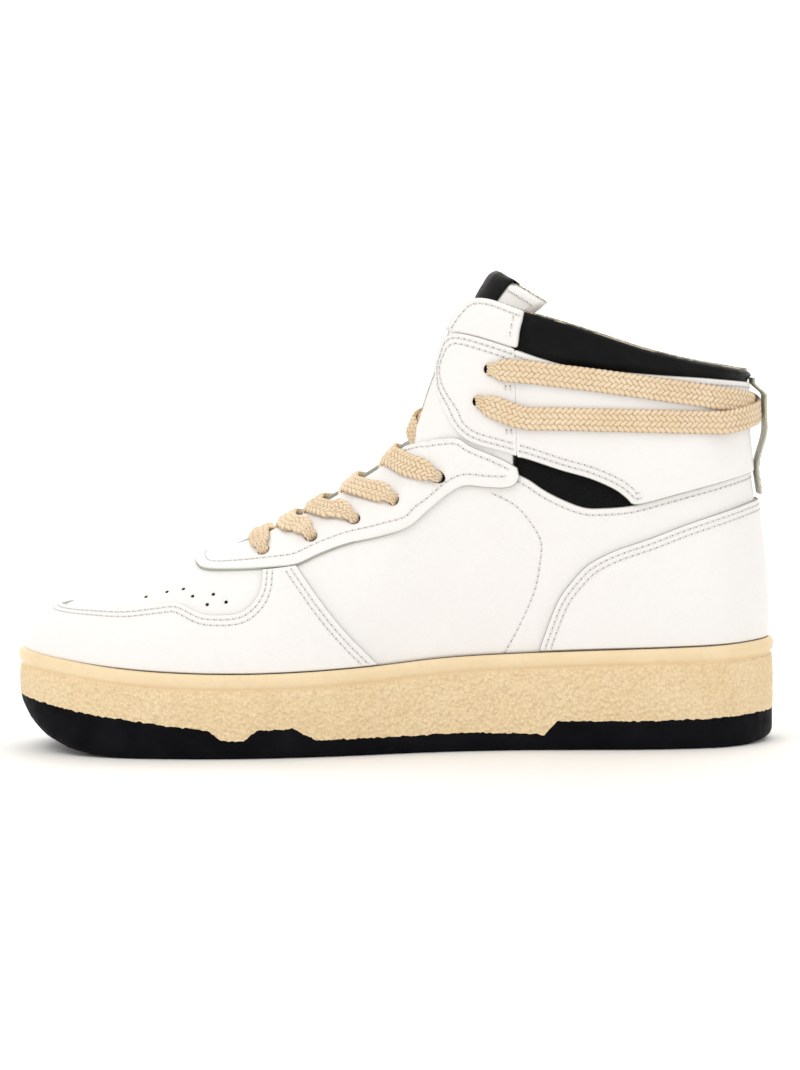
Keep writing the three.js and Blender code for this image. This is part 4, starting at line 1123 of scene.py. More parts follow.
for side, word in SIDES.items():
    top = round_heel(QUARTER_TOP, side, 48.2)
    hidden = one_side([[44.5, 109.6], [36.5, 113], [28.5, 116], [22, 118], [14, 117.6],
                       [6, 115.4]], side)
    rear = wrap_rear(front[side], side)
    throat_end = hidden[-1, 0]
    loop = join(straight([0, 0], [0, top[0, 1]]), top, hidden,
                top_edge(throat_end, rear[-1, 0]), rear[::-1],
                sole_line(rear[0, 0], 0, 400, 0.0))
    low_row = row_inside(top, loop, 2.6)
    stretch = one_side(STRETCH_ROW, side)
    holes = [(tuple(wrap_rear(np.array([p]), side)[0]), HOLE_R + 0.3)
             for p in eyelet_spots[side]]
    panel(f"quarter_{word}_leather", loop, BASE_TOP, -0.3, rows=[low_row, stretch], holes=holes,
          seed=4 + side, creases=0.12, slot="white_leather", nodes=[f"quarter_{word}"])
    stitches(f"quarter_{word}_stitches", [low_row, stretch], BASE_TOP - 0.02)

# %% [markdown]
# ## The toe guard
# One strip of leather wraps the toe from side to side. Two stitch rows follow the toe box
# opening, and two more follow its slanted rear edge.

# %% Toe guard
seam = across_toe(TOE_SEAM, 9.0, 21.0, -51.2)
guard_rear = {}
rise = {s: rising(one_side([[-51.9, 63.2], [-51.3, 66.5], [-50.9, 70.4]], s)) for s in SIDES}
seam = settle(join(rise[-1][::-1], seam, rise[1]))
for side in SIDES:
    t = np.arange(7.4, 10.8, SEAM_STEP)
    t = t if side < 0 else COUNT - t
    chain = np.c_[t, heights(drawn(MUDGUARD_REAR).tolist(), t)]
    x = surface(chain[:, 0], chain[:, 1])[:, 0]
    guard_rear[side] = settle(chain[(x >= -38.0) & (x <= -6.4)])
guard_top = {s: one_side([[-50.9, 70.5], [-44, 71.4], [-38.4, 72.4]], s) for s in SIDES}
guard_loop = join(guard_rear[-1], guard_top[-1][::-1], seam, guard_top[1], guard_rear[1][::-1],
                  sole_line(guard_rear[1][0, 0], guard_rear[-1][0, 0], 500, RIM_H))
guard_rows = [row_inside(seam, guard_loop, d) for d in (2.0, 4.1)]
guard_rows += [row_inside(guard_rear[s], guard_loop, d) for s in SIDES for d in (2.6, 4.7)]
panel("toe_guard_leather", guard_loop, OVER_TOP, BASE_TOP - 0.2, rows=guard_rows, seed=7,
      creases=0.10, slot="white_leather", nodes=["mudguard"])
stitches("toe_guard_stitches", guard_rows, OVER_TOP - 0.02)

# %% [markdown]
# ## The eyestay
# The U-shaped piece round the throat carries the lace, so it is the thickest leather. Its edge
# stands free for a few millimetres and shows a clear grey-green core; one row runs well inside
# it.

# %% Eyestay
stay_edge = across_toe(EYESTAY_EDGE, 4.9, 25.1, 48.7)
stay_back = {s: on_last(drawn(EYESTAY_BACK), s) for s in SIDES}
stay_back = {s: settle(c) for s, c in stay_back.items()}
stay_loop = join(stay_edge, stay_back[1], top_edge(stay_back[1][-1, 0], stay_back[-1][-1, 0]),
                 stay_back[-1][::-1])
stay_rows = [row_inside(stay_edge, stay_loop, 4.6, trim=3)]
stay_rows += [row_inside(stay_back[s], stay_loop, 2.4, trim=2) for s in SIDES]
stay_holes = [(p, HOLE_R) for s in SIDES for p in eyelet_spots[s]]
panel("eyestay_leather", stay_loop, OVER_TOP, BASE_TOP - 0.2, rows=stay_rows, holes=stay_holes,
      seed=9, creases=0.10, slot="white_leather", nodes=["eyestay"],
      edge=Finish("stay_edge", (0.40, 0.42, 0.365), 0.9))
stitches("eyestay_stitches", stay_rows, OVER_TOP - 0.02)

# %% [markdown]
# ## The heel overlay
# The heel piece runs round the back from one side to the other, with a pair of stitch rows
# inside its rising edge.

# %% Heel overlay
heel_edge = {s: round_heel(HEEL_EDGE, s, 54.9) for s in SIDES}
heel_loop_line = join(heel_edge[-1][::-1], heel_edge[1])
heel_outline = join(heel_loop_line,
                    sole_line(heel_edge[1][-1, 0], heel_edge[-1][-1, 0], 420, RIM_H))
heel_rows = [row_inside(heel_loop_line, heel_outline, d) for d in (2.1, 4.2)]
panel("heel_overlay_leather", heel_outline, OVER_TOP, BASE_TOP - 0.2, rows=heel_rows, seed=11,
      creases=0.08, slot="white_leather", nodes=["heel_overlay"])
stitches("heel_overlay_stitches", heel_rows, OVER_TOP - 0.02)

# %% [markdown]
# ## The ankle
# Round the ankle the shoe is made of a front flap, a rear panel and a small top tab on each
# side, all stitched to a black padded collar. Between the quarter and the panel a black window
# lets the ankle bend. The padded parts are crowned: they swell between their seams.

# %% Black collar leather and terry
black_leather = Finish("black_leather", (0.003, 0.003, 0.0035), 0.3, Specular_IOR_Level=0.12)
black_leather.tint(black_leather.grain(16), 0.4, 0.7, (0.006, 0.0055, 0.006))
black_leather.gloss(black_leather.grain(7), 0.3, 0.7, 0.34, 0.55)
black_leather.bump(black_leather.cells(0.7, "DISTANCE_TO_EDGE"), 0.05)
black_leather.bump(black_leather.grain(2.4, 5), 0.12)
black_leather.bump(black_leather.grain(9), 0.35)

window_cloth = Finish("window_cloth", (0.004, 0.004, 0.0045), 0.8, Specular_IOR_Level=0.06)
window_cloth.tint(window_cloth.cells(0.5), 0.2, 0.7, (0.009, 0.0088, 0.009))
window_cloth.bump(window_cloth.cells(0.5), 0.08)

terry = Finish("terry_lining", (0.52, 0.45, 0.35), 0.95, Sheen_Weight=0.35)
terry.tint(terry.grain(11), 0.35, 0.7, (0.60, 0.54, 0.44))
# Darker towards the edges of the cells: painted shade between the loops.
terry.tint(terry.cells(0.9), 0.2, 0.8, (0.34, 0.29, 0.21), 0, 0.6)
terry.bump(terry.cells(0.9), 0.4)
terry.bump(terry.grain(0.5, 4), 0.15)

fuzz = Finish("collar_fuzz", (0.42, 0.37, 0.24), 0.95, Sheen_Weight=0.4)
fuzz.tint(fuzz.grain(5), 0.35, 0.65, (0.24, 0.21, 0.13))
fuzz.bump(fuzz.grain(0.3), 0.05)

backing = Finish("backing_cloth", (0.55, 0.56, 0.52), 0.9)
backing.tint(backing.grain(1.5, 4), 0.4, 0.7, (0.45, 0.46, 0.42))
backing.bump(backing.cells(0.7), 0.08)

# %% Ankle panels
LOW_ROWS_END = 97           # the stitch rows along the panel's low seam stop here
for side, word in SIDES.items():
    low = round_heel(PANEL_LOW, side, 47.5)
    top = round_heel(PANEL_TOP, side, FLAP_X + 0.3)
    front_line = rising(one_side([[FLAP_X + 0.1, 115.2], [FLAP_X + 0.1, 155.0]], side))
    loop = join(low, front_line, top[::-1], straight(top[0], low[0]))
    keep = surface(low[:, 0], low[:, 1])[:, 0] < LOW_ROWS_END
    rows = [row_inside(low[keep], loop, d) for d in (2.3, 4.5)]
    rows += [row_inside(top, loop, d) for d in (2.2, 4.4)]
    panel(f"collar_panel_{word}_leather", loop, OVER_TOP, BASE_TOP - 0.4, rows=rows, puff=0.35,
          spread=12, seed=13 + side, creases=0.14, slot="white_leather",
          nodes=[f"collar_panel_{word}"], flush=lambda x: 1 - smooth(48.0, 49.0, x))
    stitches(f"collar_panel_{word}_stitches", rows, OVER_TOP + 0.12)

# %% Ankle flaps
for side, word in SIDES.items():
    front_edge = one_side(FLAP_FRONT, side)
    rear_line = rising(one_side([[FLAP_X, 115.2], [FLAP_X, 155.4]], side))
    loop = join(front_edge[::-1], rear_line)
    rows = [row_inside(front_edge, loop, d) for d in (2.0, 4.2)]
    for x in (43.6, 45.4):
        rows.append(one_side([[x, 121.5], [x, 126]], side))
        rows.append(one_side([[x, 138.4], [x, 143]], side))
    holes = [(tuple(wrap_rear(np.array([p]), side)[0]), 2.2) for p in flap_spots[side]]
    panel(f"ankle_flap_{word}_leather", loop, OVER_TOP, BASE_TOP - 0.4, rows=rows,
          holes=holes, puff=0.3, spread=9, seed=15 + side, creases=0.12,
          slot="white_leather", nodes=[f"ankle_flap_{word}"], edge=leather,
          flush=lambda x: smooth(45.4, 46.6, x))
    stitches(f"ankle_flap_{word}_stitches", rows, OVER_TOP + 0.12)

    under = one_side([[46, 104], [36.5, 108.5], [28.5, 111], [22, 113], [14, 112.5],
                      [7, 110.5]], side)
    behind = rising(one_side([[46, 104.2], [46, 180]], side, 0.8))
    loop = join(under[::-1], behind[1:], top_edge(behind[-1, 0], under[-1, 0]))
    panel(f"flap_base_{word}_leather", loop, BASE_TOP, -0.3, holes=holes, seed=17 + side,
          slot="white_leather", nodes=[f"flap_backing_{word}"], edge=backing)

# %% Collar tabs
for side, word in SIDES.items():
    span = np.arange(4.7, 6.9, SEAM_STEP)
    t = -side * span
    low = np.c_[t, heights([[x, z + 0.5] for x, z in drawn(FLAP_TOP)], t)]
    low = low[~np.isnan(low[:, 1])]
    low = settle(low[surface(low[:, 0], low[:, 1])[:, 0] < 48.2])
    rear = rising(one_side([[48.3, 156.2], [49.3, 163.2], [50.6, 168], [51.2, 174]], side, 0.8))
    loop = join(low[::-1], rear[1:], top_edge(rear[-1, 0], low[-1, 0]))
    crest = top_edge(rear[-1, 0], low[-1, 0])
    rows = [row_inside(crest, loop, 2.2), row_inside(rear, loop, 3.2, trim=2)]
    panel(f"collar_tab_{word}_leather", loop, OVER_TOP, BASE_TOP - 0.4, rows=rows, puff=0.5,
          spread=7, seed=19 + side, creases=0.12, slot="white_leather",
          nodes=[f"collar_tab_{word}"], edge=leather)
    stitches(f"collar_tab_{word}_stitches", rows, OVER_TOP + 0.12)

# %% The black windows
for side, word in SIDES.items():
    upper_line = [[x, z + 5] for x, z in PANEL_LOW[:7]]
    lower_line = [[x, z - 5] for x, z in [[46.3, 108]] + QUARTER_TOP[1:8]]
    up_chain, low_chain = one_side(upper_line, side), one_side(lower_line, side)
    loop = join(up_chain, low_chain[::-1])
    panel(f"window_{word}_cloth", loop, BASE_TOP - 1.0, -0.3, puff=0.45, spread=10, creases=0.04,
          finish=window_cloth, edge=window_cloth, seed=21 + side, slot="black_cloth",
          nodes=[f"flex_insert_{word}"])

# %% [markdown]
# ## The padded collar and the lining
# The collar is a roll of foam: black leather outside, looped terry inside, turned over at the
# top. It is a ring of profiles. Each profile climbs the outside, rounds the top and comes down
# inside. Foam swells between its seams, which a cloth simulation with a little pressure would
# also give; here the swelling and the wrinkles are written as heights, because the profile must
# stay thin at the flaps.

# %% Collar shell
collar_t = np.arange(-5.8, 5.8001, 0.04)
START_H = 0.62


def outside_height(t, h):
    """How far the black leather stands out; it swells above the white panels."""
    p = surface(t, h)
    line = np.interp(p[..., 0], *np.array(sorted(PANEL_TOP)).T)
    above = p[..., 2] - line
    swell = smooth(-2, 5, above) * (1 - 0.55 * smooth(9, 18, above))
    return BASE_TOP - 0.35 + (0.35 + 1.9 * swell) * smooth(49.5, 55, p[..., 0])


def profile_points(t, levels, turn_levels, roll=3.2):
    """Outside rows, then the round crest; returns a grid of points."""
    rows = []
    for h in levels:
        hh = np.full(len(t), h)
        rows.append(offset(t, hh, outside_height(t, hh)))
    crest = np.ones(len(t))
    outer_d = outside_height(t, crest)
    inner_d = LINE_IN - padding(t, crest)
    middle, half = (outer_d + inner_d) / 2, (outer_d - inner_d) / 2
    up = surface(t, crest) - surface(t, crest - 0.01)
    up /= np.linalg.norm(up, axis=1, keepdims=True)
    base = surface(t, crest)
    n = normal(t, crest)
    for phi in turn_levels:
        d = middle + half * np.cos(phi)
        lift = -roll * (1 - np.sin(phi)**0.8)
        rows.append(base + n * d[:, None] + up * lift[:, None] if np.ndim(lift)
                    else base + n * d[:, None] + up * lift)
    return np.array(rows)


shell_levels = np.linspace(START_H, 0.968, 34)
black_turns = np.radians([8, 20, 34, 48, 60])
shell = profile_points(collar_t, shell_levels, black_turns)
rows_n, cols_n = shell.shape[:2]
flat_shell = shell.reshape(-1, 3)
n_shell = np.tile(normal(collar_t, np.full(cols_n, 0.9)), (rows_n, 1))
folds = (0.35 * rough(flat_shell * [1, 1, 0.6], 9, 5) + 0.16 * rough(flat_shell, 3.2, 6))
front_wrinkle = np.exp(-((flat_shell[:, 0] - 56) / 9)**2) * smooth(155, 166, flat_shell[:, 2])
folds += front_wrinkle * 0.55 * rough(flat_shell * [0.7, 1, 2.2], 4.5, 8)
flat_shell = flat_shell + n_shell * folds[:, None]
collar = piece("collar_leather", flat_shell, grid_faces(rows_n, cols_n), [black_leather],
               slot="black_cloth", nodes=["collar_shell", "collar_padding"])
face_outwards(collar)

# %% Lining
line_t = np.arange(0, COUNT, 0.1)
line_levels = np.concatenate([np.linspace(-0.9, 0.5, 16), np.linspace(0.55, 0.965, 14)])
inside = []
for h in line_levels:
    hh = np.full(len(line_t), h)
    inside.append(offset(line_t, hh, LINE_IN - padding(line_t, hh)))
crest = np.ones(len(line_t))
around = np.minimum(line_t, COUNT - line_t)
is_collar = 1 - smooth(5.4, 6.4, around)
outer_d = np.where(around < 5.95, outside_height(line_t, crest), -0.4)
outer_d = outer_d * is_collar + -0.4 * (1 - is_collar)
inner_d = LINE_IN - padding(line_t, crest)
middle, half = (outer_d + inner_d) / 2, (outer_d - inner_d) / 2
up = surface(line_t, crest) - surface(line_t, crest - 0.01)
up /= np.linalg.norm(up, axis=1, keepdims=True)
base, n = surface(line_t, crest), normal(line_t, crest)
roll = 0.8 + 2.4 * is_collar
for f in np.linspace(0, 1, 10):
    phi = np.radians(180 - 8 - f * (124 * is_collar + 164 * (1 - is_collar)))
    d = middle + half * np.cos(phi)
    lift = -roll * (1 - np.sin(np.clip(phi, 0.02, math.pi - 0.02))**0.8)
    inside.append(base + n * d[:, None] + up * lift[:, None])
inside = np.array(inside)
rows_n, cols_n = inside.shape[:2]
flat_in = inside.reshape(-1, 3)
loops = 0.22 * rough(flat_in, 1.5, 9) + 0.3 * rough(flat_in, 11, 10)
flat_in = flat_in + np.tile(n, (rows_n, 1)) * loops[:, None]
lining = piece("terry_lining", flat_in, grid_faces(rows_n, cols_n, wrap=True), [terry],
               slot="lining_cloth", nodes=["lining"])
face_outwards(lining)

# %% [markdown]
# ## Fuzz on the collar's edge
# Terry sheds short loops of yarn where it is turned over. A hair system would not leave the
# program as a mesh, so each loop is a tiny bent blade, placed along the crest with a seeded
# random lean.

# %% Fuzz
def fuzz_along(name, centre, n, up, per_mm, body="shoe", size=0.8, width=0.7):
    """Short bent fibres scattered along a chain of points, always the same ones."""
    chance = random.Random(len(name))
    run = length_along(centre)
    total = int(run[-1] * per_mm)
    points, faces = [], []
    for i in range(total):
        at = chance.uniform(0, run[-1])
        p = np.array([np.interp(at, run, centre[:, k]) for k in range(3)])
        nn = np.array([np.interp(at, run, n[:, k]) for k in range(3)])
        uu = np.array([np.interp(at, run, up[:, k]) for k in range(3)])
        along = np.cross(nn, uu)
        p = p + nn * chance.gauss(0, width) - uu * 0.25
        lean = nn * chance.gauss(0, 0.5) + along * chance.gauss(0, 0.6)
        tall = size * chance.uniform(0.5, 1.3)
        side_way = along * 0.09 + nn * 0.05
        start = len(points)
        mid = p + uu * tall * 0.6 + lean * tall * 0.35
        tip = p + uu * tall * 0.8 + lean * tall
        points += [p - side_way, p + side_way, mid + side_way * 0.8, mid - side_way * 0.8, tip]
        faces += [[start, start + 1, start + 2, start + 3], [start + 3, start + 2, start + 4]]
    return piece(name, np.array(points), faces, [fuzz], body=body, slot="lining_cloth")


crest_t = np.arange(-5.75, 5.75, 0.02)
ones = np.ones(len(crest_t))
edge_up = surface(crest_t, ones) - surface(crest_t, ones - 0.01)
edge_up /= np.linalg.norm(edge_up, axis=1, keepdims=True)
edge_n = normal(crest_t, ones)
outer_d = outside_height(crest_t, ones)
inner_d = LINE_IN - padding(crest_t, ones)
phi = math.radians(62)
crest_d = (outer_d + inner_d) / 2 + (outer_d - inner_d) / 2 * math.cos(phi)
crest_line = surface(crest_t, ones) + edge_n * crest_d[:, None] - edge_up * 0.15
fuzz_along("collar_fuzz", crest_line, edge_n, edge_up, 9)

# %% [markdown]
# ## The tongue
# The tongue is one soft arch of leather over foam with terry behind. The CAD cuts it in two at
# the place where it flexes; the leather doesn't break there, so one mesh is made for its whole
# length and taken off both bodies. Its section is a flat tube: leather in front, terry
# behind.

# %% Tongue sections: x, z, half width, depth of the arch
TONGUE = np.array([[-66, 70.6, 16, 5], [-54, 73.2, 20, 11.8], [-40, 80.5, 23, 17.8],
                   [-24, 90.3, 25, 22], [-7, 100.9, 25, 23.4], [7.5, 111.5, 25, 23],
                   [15, 123.6, 24, 21], [16.6, 129.6, 23, 20], [19.6, 140, 22, 20],
                   [22.6, 152, 21, 20], [27, 164, 20.5, 21], [33.8, 177, 20.5, 24],
                   [39.6, 186.4, 20.5, 27]])
TONGUE_THICK = 7.0


def tongue_at(k):
    k = np.clip(k, 0, len(TONGUE) - 1)
    i = int(min(math.floor(k), len(TONGUE) - 2))
    f = k - i
    long = np.vstack([2 * TONGUE[0] - TONGUE[1], TONGUE, 2 * TONGUE[-1] - TONGUE[-2]])
    a, b, c, d = long[i:i + 4]
    return 0.5 * (2 * b + (c - a) * f + (2 * a - 5 * b + 4 * c - d) * f * f
                  + (3 * b - a - 3 * c + d) * f**3)


def tongue_point(k, degrees, depth):
    """A place on the tongue: k along it, degrees across it, depth behind its face."""
    row = tongue_at(k)
    go = tongue_at(min(k + 0.05, 12)) - tongue_at(max(k - 0.05, 0))
    go = go[:2] / np.linalg.norm(go[:2])
    out = np.array([-go[1], 0, go[0]])
    a = np.radians(np.asarray(degrees, float))
    p = np.array([row[0], 0, row[1]]) - np.outer(row[3] * (1 - np.cos(a)), out)
    p[:, 1] = row[2] * np.sin(a)
    n = np.outer(row[2] * np.cos(a), out)
    n[:, 1] = row[3] * np.sin(a)
    n /= np.linalg.norm(n, axis=1, keepdims=True)
    return p - n * np.asarray(depth)[..., None], n


def tongue_spread(k):
    return 72 + 11 * smooth(9.5, 12, k)


def tongue_skin(name, front_side, finish, slot, nodes):
    """Half of the flat tube: the leather front or the terry back."""
    ks = np.concatenate([np.arange(0, 11.8, 0.1), [11.8, 11.88, 11.94, 11.98, 12.0]])
    rows = []
    for k in ks:
        spread = tongue_spread(k)
        across = np.linspace(-1, 1, 57)
        if front_side:
            edge = np.clip((np.abs(across) - 0.93) / 0.07, 0, 1)
            depth = TONGUE_THICK * 0.55 * (1 - np.sqrt(1 - np.minimum(edge, 1)**2 * 0.999))
            swell = -0.7 * (1 - across**4) * smooth(0, 2, k)
            end = TONGUE_THICK * 0.5 * smooth(11.8, 12.0, k)**2
            depth = np.maximum(depth + swell, np.minimum(end, TONGUE_THICK * 0.55))
        else:
            edge = np.clip((np.abs(across) - 0.93) / 0.07, 0, 1)
            depth = TONGUE_THICK - TONGUE_THICK * 0.45 * (1 - np.sqrt(1 - edge**2 * 0.999))
            end = TONGUE_THICK * 0.5 * smooth(11.8, 12.0, k)**2
            depth = np.minimum(depth, TONGUE_THICK - end)
        p, n = tongue_point(k, across * spread, depth)
        rows.append(p)
    rows = np.array(rows)
    points = rows.reshape(-1, 3)
    loops = 0.25 if not front_side else 0.0
    if loops:
        points = points + loops * rough(points, 1.6, 31)[:, None] * [0.6, 0.6, 0.6]
    points = points + 0.22 * rough(points, 13, 32)[:, None] * [0.7, 0, 0.7]
    made = piece(name, points, grid_faces(*rows.shape[:2]), [finish], slot=slot, nodes=nodes)
    face_outwards(made)
    return made


def flex(made):
    """Takes a piece off its body and leaves it where it is, with no body."""
    made.parent = None
    made.matrix_world = Matrix.Identity(4)
    del made["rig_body"]
    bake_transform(made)


tongue_leather = tongue_skin("tongue_leather", True, leather, "white_leather",
                             ["tongue_lower_face", "tongue_lower_foam", "tongue_top_face",
                              "tongue_top_foam"])
tongue_terry = tongue_skin("tongue_terry", False, terry, "lining_cloth",
                           ["tongue_lower_lining", "tongue_top_lining"])
for made in (tongue_leather, tongue_terry):
    flex(made)

# %% Tongue label and trim
label_rows = []
for k, depth in [(10.85, -0.15), (10.86, -0.75), (10.95, -0.95), (11.2, -1.0), (11.4, -0.9),
                 (11.6, -1.0), (11.8, -0.85), (11.93, -0.4), (12.0, 0.9), (12.0, 3.4),
                 (12.0, 5.9), (11.93, 7.3), (11.8, 7.7), (11.6, 7.8), (11.4, 7.6), (11.36, 6.8)]:
    across = np.linspace(-1, 1, 41)
    rim = 0.5 * np.clip((np.abs(across) - 0.96) / 0.04, 0, 1)
    p, n = tongue_point(k, across * 46, np.full(41, depth) + (rim if depth < 3 else -rim))
    lift = 1.0 if depth in (0.9, 3.4, 5.9) else 0.0
    bend = tongue_at(12) - tongue_at(11.8)
    up = np.array([bend[0], 0, bend[1]]) / np.linalg.norm(bend[:2])
    label_rows.append(p + up * lift)
label_rows = np.array(label_rows)
label_points = label_rows.reshape(-1, 3)
label_points = label_points + 0.18 * rough(label_points, 5, 40)[:, None] * [0.8, 0, 0.6]
label = piece("tongue_label_cloth", label_points, grid_faces(*label_rows.shape[:2]),
              [black_leather], body="tongue_top", slot="black_cloth", nodes=["tongue_label"])
face_outwards(label)


def tongue_row(k_line, degrees_line, depth=-0.72):
    """A chain on the tongue's face, with normals, for the stitch recipe."""
    both = [tongue_point(k, [a], [depth]) for k, a in zip(k_line, degrees_line)]
    return np.array([b[0][0] for b in both]), np.array([b[1][0] for b in both])


tongue_rows = []
for sign in (-1, 1):
    tongue_rows.append((np.linspace(8.6, 11.65, 60), sign * np.linspace(66, 76, 60)))
    tongue_rows.append((np.full(40, 11.66), sign * np.linspace(76, 47, 40)))
stitches("tongue_stitches", tongue_rows, 0, body="tongue_top",
         place=tongue_row, slot="white_leather")
wing = [tongue_point(12, [a], [3.4]) for a in np.linspace(-83, 83, 160)]
wing_p = np.array([w[0][0] for w in wing])
wing_n = np.array([w[1][0] for w in wing])
bend = tongue_at(12) - tongue_at(11.8)
wing_up = np.tile(np.array([bend[0], 0, bend[1]]) / np.linalg.norm(bend[:2]), (160, 1))
keep = np.abs(np.linspace(-83, 83, 160)) > 47
for sign, word in SIDES.items():
    part = keep & (np.sign(wing_p[:, 1]) == sign)
    fuzz_along(f"tongue_fuzz_{word}", wing_p[part], wing_n[part], wing_up[part], 14,
               body="tongue_top", size=0.9, width=1.6)

# %% [markdown]
# ## The lace
# One flat braided lace runs from tip to tip: over the first bar, down through the first eyelets,
# crossing under and over up the throat, out of the lower flap holes, round the heel and back in.
# Its route is planned like the real lacing, from hole to hole. A hole pinches the lace, and away
# from it the lace opens to its full width.

# %% Lace route
STEP = 1.7
LACE_ON = [-52, -41, -30, -15.5, 0.5, 12]
LACE_OUT = [-46, -35, -21, -5, 7]


def seat(place, d):
    return offset(place[0], place[1], d)


def lean(place):
    return normal(place[0], place[1])


def spot(x, z, side):
    return tuple(on_last([[x, z]], side, 99)[0])


def throat_at(x, side):
    a, b = 5.5, 15.0
    for _ in range(30):
        m = (a + b) / 2
        a, b = (m, b) if station(m)[2] > x else (a, m)
    return a if side < 0 else COUNT - a


def height_at(t, z):
    a, b = 0.0, 1.0
    for _ in range(30):
        m = (a + b) / 2
        a, b = (m, b) if surface(t, m)[2] < z else (a, m)
    return a


def unit(v):
    return v / (np.linalg.norm(v) + 1e-12)


def creep(path, a, b, d, side, after, before):
    """Along the leather between two places, keeping clear of both."""
    start, stop = seat(a, d), seat(b, d)
    count = max(2, round(np.linalg.norm(stop - start) / 4))
    for i in range(1, count):
        line = seat(a, 0) + (seat(b, 0) - seat(a, 0)) * i / count
        q = spot(line[0], line[2], side)
        p = seat(q, d)
        if np.linalg.norm(p - start) > after and np.linalg.norm(p - stop) > before:
            path.append((p, lean(q), LACE_W))


def through(path, place, before, after, inward):
    """Into a hole, through it, and away towards the place after."""
    n = lean(place)
    here = seat(place, 0)

    def flat(q):
        v = seat(q, 0) - here
        return unit(v - n * v.dot(n))

    a, b = flat(before), flat(after)
    first, second = (LACE_OVER, LACE_UNDER) if inward else (LACE_UNDER, LACE_OVER)
    sign = -1 if inward else 1
    side = math.copysign(1, here[1])

    def put(d, shift, way, w, nn):
        p = seat(place, d) + way * shift
        if shift > STEP:
            on = here + way * shift
            p = seat(spot(on[0], on[2], side), d)
        path.append((p, nn, w))

    put(first, 7, a, LACE_W, n)
    put(first, 4, a, LACE_W * 0.9, n)
    put(first, STEP, a, LACE_NECK, n)
    put(first + sign * STEP, 0, a, LACE_NECK, -sign * a)
    put(second - sign * STEP, 0, b, LACE_NECK, -sign * a)
    put(second, STEP, b, LACE_NECK, n)
    put(second, 4, b, LACE_W * 0.9, n)
    put(second, 7, b, LACE_W, n)


def crossing(path, k, side):
    """From under the eyestay at row k over the tongue to the other side."""
    last = k == len(ROWS) - 1
    a = (throat_at(LACE_OUT[k], side), 1.0)
    b = (throat_at(LACE_ON[k + 1], -side), 1.0)
    under, over = seat(a, LACE_UNDER), seat(b, LACE_UNDER if last else LACE_OVER)
    out = lean(a) + lean(b)
    out[1] = 0
    out = unit(out)
    mid = (seat(a, 0) + seat(b, 0)) / 2
    mid = mid + out * ((1.1 if side < 0 else -1.1) + (2.2 if last else 0.4))

    def inwards(p):
        return p + np.array([0, -math.copysign(2.5, p[1]), 0])

    path += [(under, lean(a), LACE_W), (inwards(under), lean(a), LACE_W), (mid, out, LACE_W),
             (inwards(over), lean(b), LACE_W), (over, lean(b), LACE_W)]
    return b


def round_ankle(path, side, raised):
    """From the lower flap hole round the heel to the other side's upper hole."""
    sign = 1 if side < 0 else -1
    stops = [(spot(50, 129.5, side), 129.5), (spot(125, 126.5, side), 126.5),
             (spot(125, 136, -side), 136.0), (spot(54, 147, -side), 147.0)]

    def near(q):
        return (q[0] - COUNT if q[0] > TOE else q[0]) * sign

    def drop(t, z, extra):
        q = (t, height_at(t, z))
        path.append((seat(q, LACE_OVER + extra), lean(q), LACE_W))

    for (q0, z0), (q1, z1), count in zip(stops, stops[1:], (8, 12, 8)):
        a, b = near(q0), near(q1)
        for i in range(count):
            f = i / count
            t = a + (b - a) * f
            extra = raised * (1 - smooth(1.5, 2.1, abs(t)))
            drop(sign * t, z0 + (z1 - z0) * f, extra)
    drop(stops[-1][0][0], 147.0, 0)
    return stops[-1][0]


def lace_path(side):
    """One half of the lace, from the middle of the first bar to its tip."""
    edge = (throat_at(LACE_ON[0], side), 1.0)
    middle_z = seat(edge, 0)[2] + 3.1 + 1.6
    path = [(np.array([LACE_ON[0], 0, middle_z]), np.array([0, 0, 1.0]), LACE_W),
            (seat(edge, LACE_OVER), lean(edge), LACE_W)]
    here = side
    for k in range(len(ROWS)):
        place = eyelet_spots[here][k]
        leave = (throat_at(LACE_OUT[k], here), 1.0)
        creep(path, edge, place, LACE_OVER, here, 4, 9.5)
        through(path, place, edge, leave, True)
        creep(path, place, leave, LACE_UNDER, here, 9.5, 4)
        edge = crossing(path, k, here)
        here = -here
    low, high = flap_spots[here][0], flap_spots[-here][1]
    creep(path, edge, low, LACE_UNDER, here, 6, 9.5)
    through(path, low, edge, spot(50, 129.5, here), False)
    end = round_ankle(path, here, 0 if side < 0 else LACE_T + 0.5)
    through(path, high, end, spot(36.5, 166, -here), True)
    return path


half_a, half_b = lace_path(-1), lace_path(1)
route = half_a[1:][::-1] + half_b
print("lace route points:", len(route))

# %% [markdown]
# ## Weaving the lace
# A flat braid shows columns of slanting strands that meet in chevrons. The lace is a thin
# rounded section swept along the route, and every point is raised by a small pattern: which
# column it is in says which way the strand slants, and where along the lace it is says if it is
# on top.

# %% Lace mesh
LACE_STEP = 0.36
BRAID_COLUMNS, BRAID_PITCH, BRAID_RELIEF = 4, 2.3, 0.42


